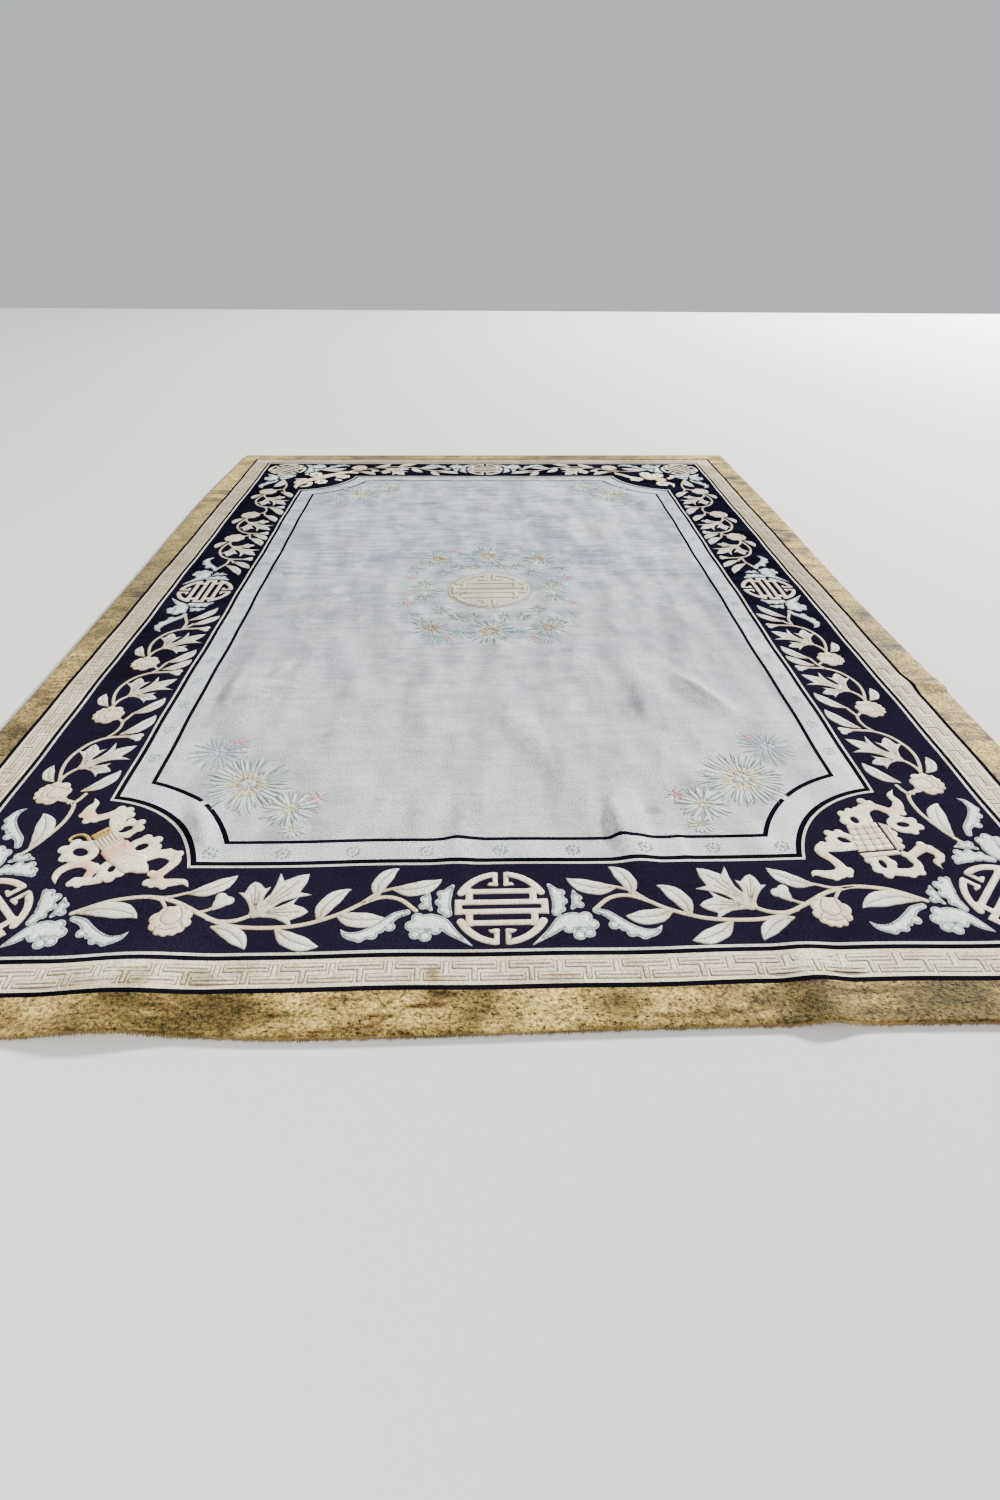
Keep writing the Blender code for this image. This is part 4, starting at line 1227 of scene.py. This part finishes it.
# Rows are (x, y, turn, long, wide, high); returns the points, faces and furrow numbers of all copies
def fillCopies(name, rows, form, finish, jitter=0.0, seed=1):
    rows = np.array(rows, dtype=float)
    numbers = dict(zip(("turn", "long", "wide", "high"), rows[:, 2:].T))
    mesh = newMesh(name, [(x, y, 0) for x, y in rows[:, :2]], [], numbers)
    holder = placed(name, mesh)
    change = holder.modifiers.new("copies", "NODES")
    change.node_group = copiesTree
    named = {item.name: item.identifier for item in copiesTree.interface.items_tree if item.in_out == "INPUT"}
    for label, value in (("Piece", form), ("Finish", finishes[finish]), ("Jitter", jitter), ("Seed", seed)):
        change[named[label]] = value
    bpy.context.view_layer.update()
    shown = holder.evaluated_get(bpy.context.evaluated_depsgraph_get())
    real = bpy.data.meshes.new_from_object(shown)
    points = np.empty(len(real.vertices) * 3, dtype=np.float32)
    real.vertices.foreach_get("co", points)
    faces = np.array([polygon.vertices[:] for polygon in real.polygons])
    furrow = np.empty(len(real.vertices), dtype=np.float32)
    real.attributes["furrow"].data.foreach_get("value", furrow)
    bpy.data.objects.remove(holder)
    bpy.data.meshes.remove(mesh)
    bpy.data.meshes.remove(real)
    return points.reshape(-1, 3).astype(float), faces, furrow


def layCopies(store, copies, slot):
    points, faces, furrow = copies
    top = onTop(points[:, :2])
    top[:, 2] += points[:, 2]
    store["points"].append(top)
    store["faces"].append(faces + store["count"])
    store["slots"].append(np.full(len(faces), slot))
    store["blush"].append(np.zeros(len(top)))
    store["furrow"].append(furrow)
    store["count"] += len(top)


def smallForm(name, outline, ridge, rings=()):  # a closed relief of unit height over its outline
    count = len(outline)
    points, edges, heights = list(outline), ringEdges(0, count), [0.0] * count
    for ring, height in rings:  # lines of the top, each closed or open, at their height
        closed = ring[0] == ring[-1]
        ring = ring[:-1] if closed else ring
        more = ringEdges(len(points), len(ring))
        edges += more if closed else more[:-1]
        points, heights = points + list(ring), heights + [height] * len(ring)
    points, heights = points + list(ridge), heights + [1.0] * len(ridge)
    place, faces, sources = triangulate(points, edges)
    faces = faces[withinLoops(place[faces].mean(axis=1), [outline])]
    number = {source: i for i, group in enumerate(sources) for source in group}
    under, underFaces, underSources = triangulate(list(outline), ringEdges(0, count))
    underFaces = underFaces[withinLoops(under[underFaces].mean(axis=1), [outline])]
    topOf = [number[group[0]] for group in underSources]
    height = [heights[group[0]] for group in sources]
    solid = [(x, y, z) for (x, y), z in zip(place, height)] + [(*place[i], -2.0) for i in topOf]
    allFaces = faces.tolist() + [[len(place) + i for i in face[::-1]] for face in underFaces]
    edge = {(int(f[j]), int(f[(j + 1) % 3])) for f in faces for j in range(3)}
    for i in range(count):
        a, b = number[i], number[(i + 1) % count]
        lowA, lowB = len(place) + topOf.index(a), len(place) + topOf.index(b)
        allFaces += [(b, a, lowA), (b, lowA, lowB)] if (a, b) in edge else [(a, b, lowB), (a, lowB, lowA)]
    # the lower a point, the more painted shade the finish gives it
    furrow = [1.0 - z for z in height] + [1.0] * len(topOf)
    return placed(name, newMesh(name, solid, allFaces, {"furrow": furrow}))


# The running fret of linked T's in the pale band: one T standing out, one standing in
fretBand = {
    "halfStem": 0.0062, "halfBar": 0.0440, "barLow": 0.0040, "top": 0.0230, "foot": -0.0225, "rise": 0.0015,
    "unit": 0.1095, "cornerGap": 0.03,  # step at which a key has its drawn length, and room at a corner
    "clipped": 0.0014, "clippedHeight": 0.25, "shoulder": 0.0034,  # how far in its edge is cut, and rises
    "furrowStop": 0.0075, "lip": 0.0035, "furrowHeight": 0.1,  # the furrow along its bar
    # Pairs in a row, how far from the corner it stops, its line from the edge, and its width
    "ends": (22, 0.1705, 0.1300, 1.0), "sides": (31, 0.1640, 0.1345, 1.08),
}


def teeOutline(inset):  # the T drawn smaller all round by this much
    stem, reach = fretBand["halfStem"] - inset, fretBand["halfBar"] - inset
    low, top, foot = fretBand["barLow"] + inset, fretBand["top"] - inset, fretBand["foot"] + inset
    return [(-stem, foot), (stem, foot), (stem, low), (reach, low), (reach, top), (-reach, top),
            (-reach, low), (-stem, low)]


def fretKey(name):
    middle = (fretBand["barLow"] + fretBand["top"]) / 2
    reach, lip = fretBand["halfBar"] - fretBand["furrowStop"], fretBand["lip"]
    clipped, shoulder = teeOutline(fretBand["clipped"]), teeOutline(fretBand["shoulder"])
    lipLine = [(-reach - lip, middle - lip), (reach + lip, middle - lip), (reach + lip, middle + lip),
               (-reach - lip, middle + lip)]
    rings = [(clipped + clipped[:1], fretBand["clippedHeight"]), (shoulder + shoulder[:1], 1.0),
             (lipLine + lipLine[:1], 1.0),
             ([(-reach, middle), (0.0, middle), (reach, middle)], fretBand["furrowHeight"])]
    return smallForm(name, teeOutline(0.0), [], rings)


keyForm = fretKey("fretKey")
keyRows = []
for part, halfRow, halfAcross in (("ends", halfWidth, halfLength), ("sides", halfLength, halfWidth)):
    count, stop, inward, stretch = fretBand[part]
    reach, line = halfRow - stop, halfAcross - inward
    step = 2 * reach / count
    for hand in (-1, 1):
        facing = math.pi * (hand > 0) if part == "ends" else hand * math.pi / 2
        for i in range(count):
            at = -reach + (i + 0.5) * step
            for where, flip in ((at, 0.0), (at + 0.5 * step, math.pi)):  # its bar inward, then outward
                if abs(where) < reach - fretBand["cornerGap"]:
                    place = (where, hand * line) if part == "ends" else (hand * line, where)
                    keyRows.append((*place, facing + flip, step / fretBand["unit"], stretch,
                                    fretBand["rise"]))
keys = newStore()
layCopies(keys, fillCopies("keys", keyRows, keyForm, "key"), 0)
finishStore("fretKeys", keys, ["key"])


# The field and the guard band: petals, rosettes and the round of fretwork in the middle

petalForm = smallForm("petal", [(0, -0.14), (0.30, -0.40), (0.60, -0.50), (0.86, -0.32), (1.0, 0),
                                (0.86, 0.32), (0.60, 0.50), (0.30, 0.40), (0, 0.14)],
                      [(0.28, 0), (0.60, 0), (0.82, 0)])
petalJitter = 0.22  # how much each petal's heading (in 0.6 radian) and length may differ
# (finish, number of petals, how far from the middle they start, their length, width and rise)
bigBloom = (("petalGreen", 44, 0.056, 0.050, 0.0046, 0.0008), ("petalPale", 40, 0.042, 0.066, 0.0105, 0.0013),
            ("petalBlue", 11, 0.072, 0.026, 0.0060, 0.0009), ("petalLime", 22, 0.025, 0.026, 0.0105, 0.0015),
            ("petalOchre", 12, 0.018, 0.013, 0.0085, 0.0018), ("petalPale", 11, 0.003, 0.019, 0.0095, 0.0017))
smallBloom = (("petalGreen", 26, 0.034, 0.036, 0.0036, 0.0007),
              ("petalPale", 15, 0.014, 0.050, 0.0150, 0.0012),
              ("petalLime", 9, 0.003, 0.018, 0.0100, 0.0016))
paleBloom = (("petalPale", 12, 0.006, 0.028, 0.0120, 0.0012), ("petalLime", 6, 0.001, 0.010, 0.0070, 0.0015))
blueBloom = (("petalSage", 20, 0.030, 0.050, 0.0070, 0.0008), ("petalBlue", 20, 0.014, 0.050, 0.0080, 0.0011),
             ("petalPale", 9, 0.002, 0.022, 0.0090, 0.0015))
pinkBud = (("petalPink", 5, 0.001, 0.019, 0.0105, 0.0014), ("petalSage", 7, 0.010, 0.024, 0.0060, 0.0008))
wreathRose = (("petalGreen", 20, 0.044, 0.052, 0.0080, 0.0008),
              ("petalBlue", 24, 0.034, 0.044, 0.0085, 0.0011),
              ("petalPale", 16, 0.020, 0.040, 0.0100, 0.0013),
              ("petalOchre", 16, 0.010, 0.036, 0.0110, 0.0017))
wreathBud = (("petalGreen", 14, 0.028, 0.038, 0.0070, 0.0008),
             ("petalSage", 14, 0.020, 0.036, 0.0085, 0.0011),
             ("petalOchre", 12, 0.004, 0.028, 0.0110, 0.0016))
wreathStar = (("petalBlue", 15, 0.006, 0.042, 0.0080, 0.0011), ("petalSage", 8, 0.002, 0.020, 0.0070, 0.0013))
wreathPale = (("petalSage", 16, 0.024, 0.050, 0.0090, 0.0009),
              ("petalPale", 14, 0.010, 0.038, 0.0110, 0.0013),
              ("petalLime", 8, 0.001, 0.018, 0.0080, 0.0016))
leafFan = (("petalSage", 9, 0.003, 0.036, 0.0100, 0.0010), ("petalGreen", 5, 0.006, 0.026, 0.0050, 0.0012))
rosette = (("floret", 11, 0.0095, 0.0085, 0.0062, 0.0007), ("floret", 5, 0.001, 0.0055, 0.0042, 0.0008))
guardRow = {"endX": (0.0, 0.165, 0.330, 0.485, 0.645), "endY": 1.400, "sideX": 0.895, "sideY": 1.04,
            "sideCount": 17}
# (|x|, |y|, flower); the whole field is drawn alike in its four quarters
fieldFlowers = (
    (0.625, 1.152, bigBloom), (0.501, 1.247, smallBloom), (0.478, 1.320, paleBloom),
    (0.732, 1.017, blueBloom), (0.690, 0.978, pinkBud), (0.440, 1.208, pinkBud),
    (0.0, 0.335, wreathRose), (0.205, 0.308, wreathBud), (0.148, 0.388, pinkBud), (0.300, 0.112, pinkBud),
    (0.100, 0.345, wreathStar), (0.192, 0.378, wreathStar), (0.282, 0.200, wreathStar),
    (0.236, 0.0, wreathPale), (0.115, 0.225, leafFan), (0.175, 0.165, leafFan), (0.055, 0.225, leafFan),
    (0.240, 0.262, leafFan), (0.245, 0.062, leafFan),
)


def petalsOf(rows, x, y, flower, number, signX=1, signY=1):  # the sines stand for an uneven hand
    for finish, count, start, length, width, rise in flower:
        for i in range(count):
            turn = 2 * math.pi * (i + 0.3 * math.sin(5.1 * i + number)) / count + 0.4 * number
            c, s = math.cos(turn) * signX, math.sin(turn) * signY
            reach = start * (1 + 0.12 * math.sin(3.7 * i + number))
            place = signX * x + reach * c, signY * y + reach * s
            rows.setdefault(finish, []).append((*place, math.atan2(s, c), length, width, rise))


flowerRows = {}
for number, (x, y, flower) in enumerate(fieldFlowers):
    for signX, signY in quarters:
        if (x or signX < 0) and (y or signY < 0):
            petalsOf(flowerRows, x, y, flower, number, signX, signY)
for hand in (-1, 1):  # faint rosettes along the guard band
    for x in guardRow["endX"]:
        for signX in ((-1, 1) if x else (1,)):
            petalsOf(flowerRows, signX * x, hand * guardRow["endY"], rosette, 3)
    for y in np.linspace(-guardRow["sideY"], guardRow["sideY"], guardRow["sideCount"]):
        petalsOf(flowerRows, hand * guardRow["sideX"], y, rosette, 5)
petals, petalFinishes = newStore(), []
for seed, (finish, rows) in enumerate(sorted(flowerRows.items())):
    layCopies(petals, fillCopies("petals", rows, petalForm, finish, petalJitter, seed), len(petalFinishes))
    petalFinishes.append(finish)
finishStore("fieldFlowers", petals, petalFinishes)

# A disc and the bars on it, each first a little larger in brown, which leaves a thin outline of painted
# shade:
# (radius or how much the bars are grown, rise, finish)
middleRound = {"discs": ((0.1590, 0.0005, 1), (0.1560, 0.0008, 0)), "halfBar": 0.064, "radius": 0.149,
               "bars": ((0.0026, 0.0012, 1), (0.0, 0.0016, 0))}
asDrawn = [[1, 0, 0], [0, 1, 0]]
middle = newStore()
for radius, rise, slot in middleRound["discs"]:
    carve(middle, drawn([spot(0, 0, radius)], bevel=0.002, fill=0.02), asDrawn, rise, slot)
for grown, rise, slot in middleRound["bars"]:
    parts = scaledParts(fretMedallion(middleRound["halfBar"]), middleRound["radius"], grown)
    carve(middle, drawn(parts, cell=0.0022, bevel=0.0012), asDrawn, rise, slot)
finishStore("middleMedallion", middle, ["fieldBars", "middleOutlineShade"])


# Loose tufts of the pile along the cut edges, a comb of short tips

comb = {"step": 0.0045, "fromCorner": 0.004, "inward": 0.0015, "longAtEnds": 0.0050, "longAtSides": 0.0045,
        "wide": 0.0032, "high": 0.0062, "jitter": 0.5, "seed": 5}


def tuftShape():
    points = [(-0.35, -0.5, -0.20), (-0.35, 0.5, -0.20), (-0.35, 0.5, -1.0), (-0.35, -0.5, -1.0),
              (0.45, -0.42, -0.50), (0.45, 0.42, -0.50), (0.45, 0.42, -1.25), (0.45, -0.42, -1.25),
              (1.0, 0.0, -1.40)]
    faces = [(0, 3, 2), (0, 2, 1), (8, 4, 5), (8, 5, 6), (8, 6, 7), (8, 7, 4)]
    for i in range(4):
        a, b = i, (i + 1) % 4
        faces += [(a, b, b + 4), (a, b + 4, a + 4)]
    return placed("tuft", newMesh("tuft", points, faces, {"furrow": [0] * 4 + [0.4] * 4 + [1]}))


tuftForm = tuftShape()
tuftRows = []
for turn in (-math.pi / 2, math.pi / 2, 0.0, math.pi):
    onEnd = abs(turn) == math.pi / 2
    halfRow, out = (halfWidth, halfLength) if onEnd else (halfLength, halfWidth)
    out = (out - comb["inward"]) * (1 if turn in (0.0, math.pi / 2) else -1)
    for at in np.arange(-halfRow + comb["fromCorner"], halfRow - 0.003, comb["step"]):
        place = (at, out) if onEnd else (out, at)
        long = comb["longAtEnds"] if onEnd else comb["longAtSides"]
        tuftRows.append((*place, turn, long, comb["wide"], comb["high"]))
tufts = newStore()
layCopies(tufts, fillCopies("tufts", tuftRows, tuftForm, "tuft", comb["jitter"], comb["seed"]), 0)
finishStore("edgeTufts", tufts, ["tuft"])
for used in (keyForm, petalForm, tuftForm):
    bpy.data.objects.remove(used)


# Floor, light and camera

def makeStage():
    mesh = newMesh("floor", [(-9, -9, -0.001), (9, -9, -0.001), (9, 9, -0.001), (-9, 9, -0.001)],
                   [(0, 1, 2, 3)])
    floor = placed("floor", mesh)
    plain = bpy.data.materials.new("paleFloor")
    plain.use_nodes = True
    shader = plain.node_tree.nodes["Principled BSDF"]
    shader.inputs["Base Color"].default_value = linear("#D9D6D0")
    shader.inputs["Roughness"].default_value = 0.9
    mesh.materials.append(plain)


lights = {  # place, what it looks at, size and power of each soft light
    "key": ((12.6, 9.9, 6.6), (0, -0.3, 0), 1.95, 12600),
    "fill": ((-2.6, -4.2, 3.0), (-0.4, -1.1, 0), 3.0, 210),
}
sky = {"colour": "#E9EDF2", "strength": 0.72}
view = {  # fitted to the photograph's lines and round medallions
    "place": (-0.0425, -2.618, 1.1887), "pitch": 36.37, "yaw": -1.94, "roll": 0.59,
    "focalPixels": 744.5, "longSide": 1500, "sensor": 36,
}


def makeLightsAndCamera():
    for name, (place, aim, size, power) in lights.items():
        lamp = bpy.data.lights.new(name, "AREA")
        lamp.size, lamp.energy = size, power
        holder = placed(name, lamp)
        holder.location = place
        holder.rotation_euler = (Vector(aim) - Vector(place)).to_track_quat("-Z", "Y").to_euler()
    world = bpy.data.worlds.new("softSky")
    world.use_nodes = True
    background = world.node_tree.nodes["Background"].inputs
    background[0].default_value, background[1].default_value = linear(sky["colour"]), sky["strength"]
    bpy.context.scene.world = world

    pitch, yaw, roll = (math.radians(view[k]) for k in ("pitch", "yaw", "roll"))
    ahead = Vector((-math.sin(yaw), math.cos(yaw), 0))
    right = Vector((math.cos(yaw), math.sin(yaw), 0))
    up = ahead * math.sin(pitch) + Vector((0, 0, math.cos(pitch)))
    forward = ahead * math.cos(pitch) - Vector((0, 0, math.sin(pitch)))
    across = right * math.cos(roll) + up * math.sin(roll)
    upright = up * math.cos(roll) - right * math.sin(roll)
    lens = bpy.data.cameras.new("phone")
    lens.sensor_width = view["sensor"]  # for the long side of the frame
    lens.lens = view["focalPixels"] * view["sensor"] / view["longSide"]
    camera = placed("phone", lens)
    camera.matrix_world = Matrix((across, upright, -forward)).transposed().to_4x4()
    camera.location = view["place"]
    bpy.context.scene.camera = camera


makeStage()
makeLightsAndCamera()

for piece in [silkCloth] + onCloth:
    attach(piece, "root")
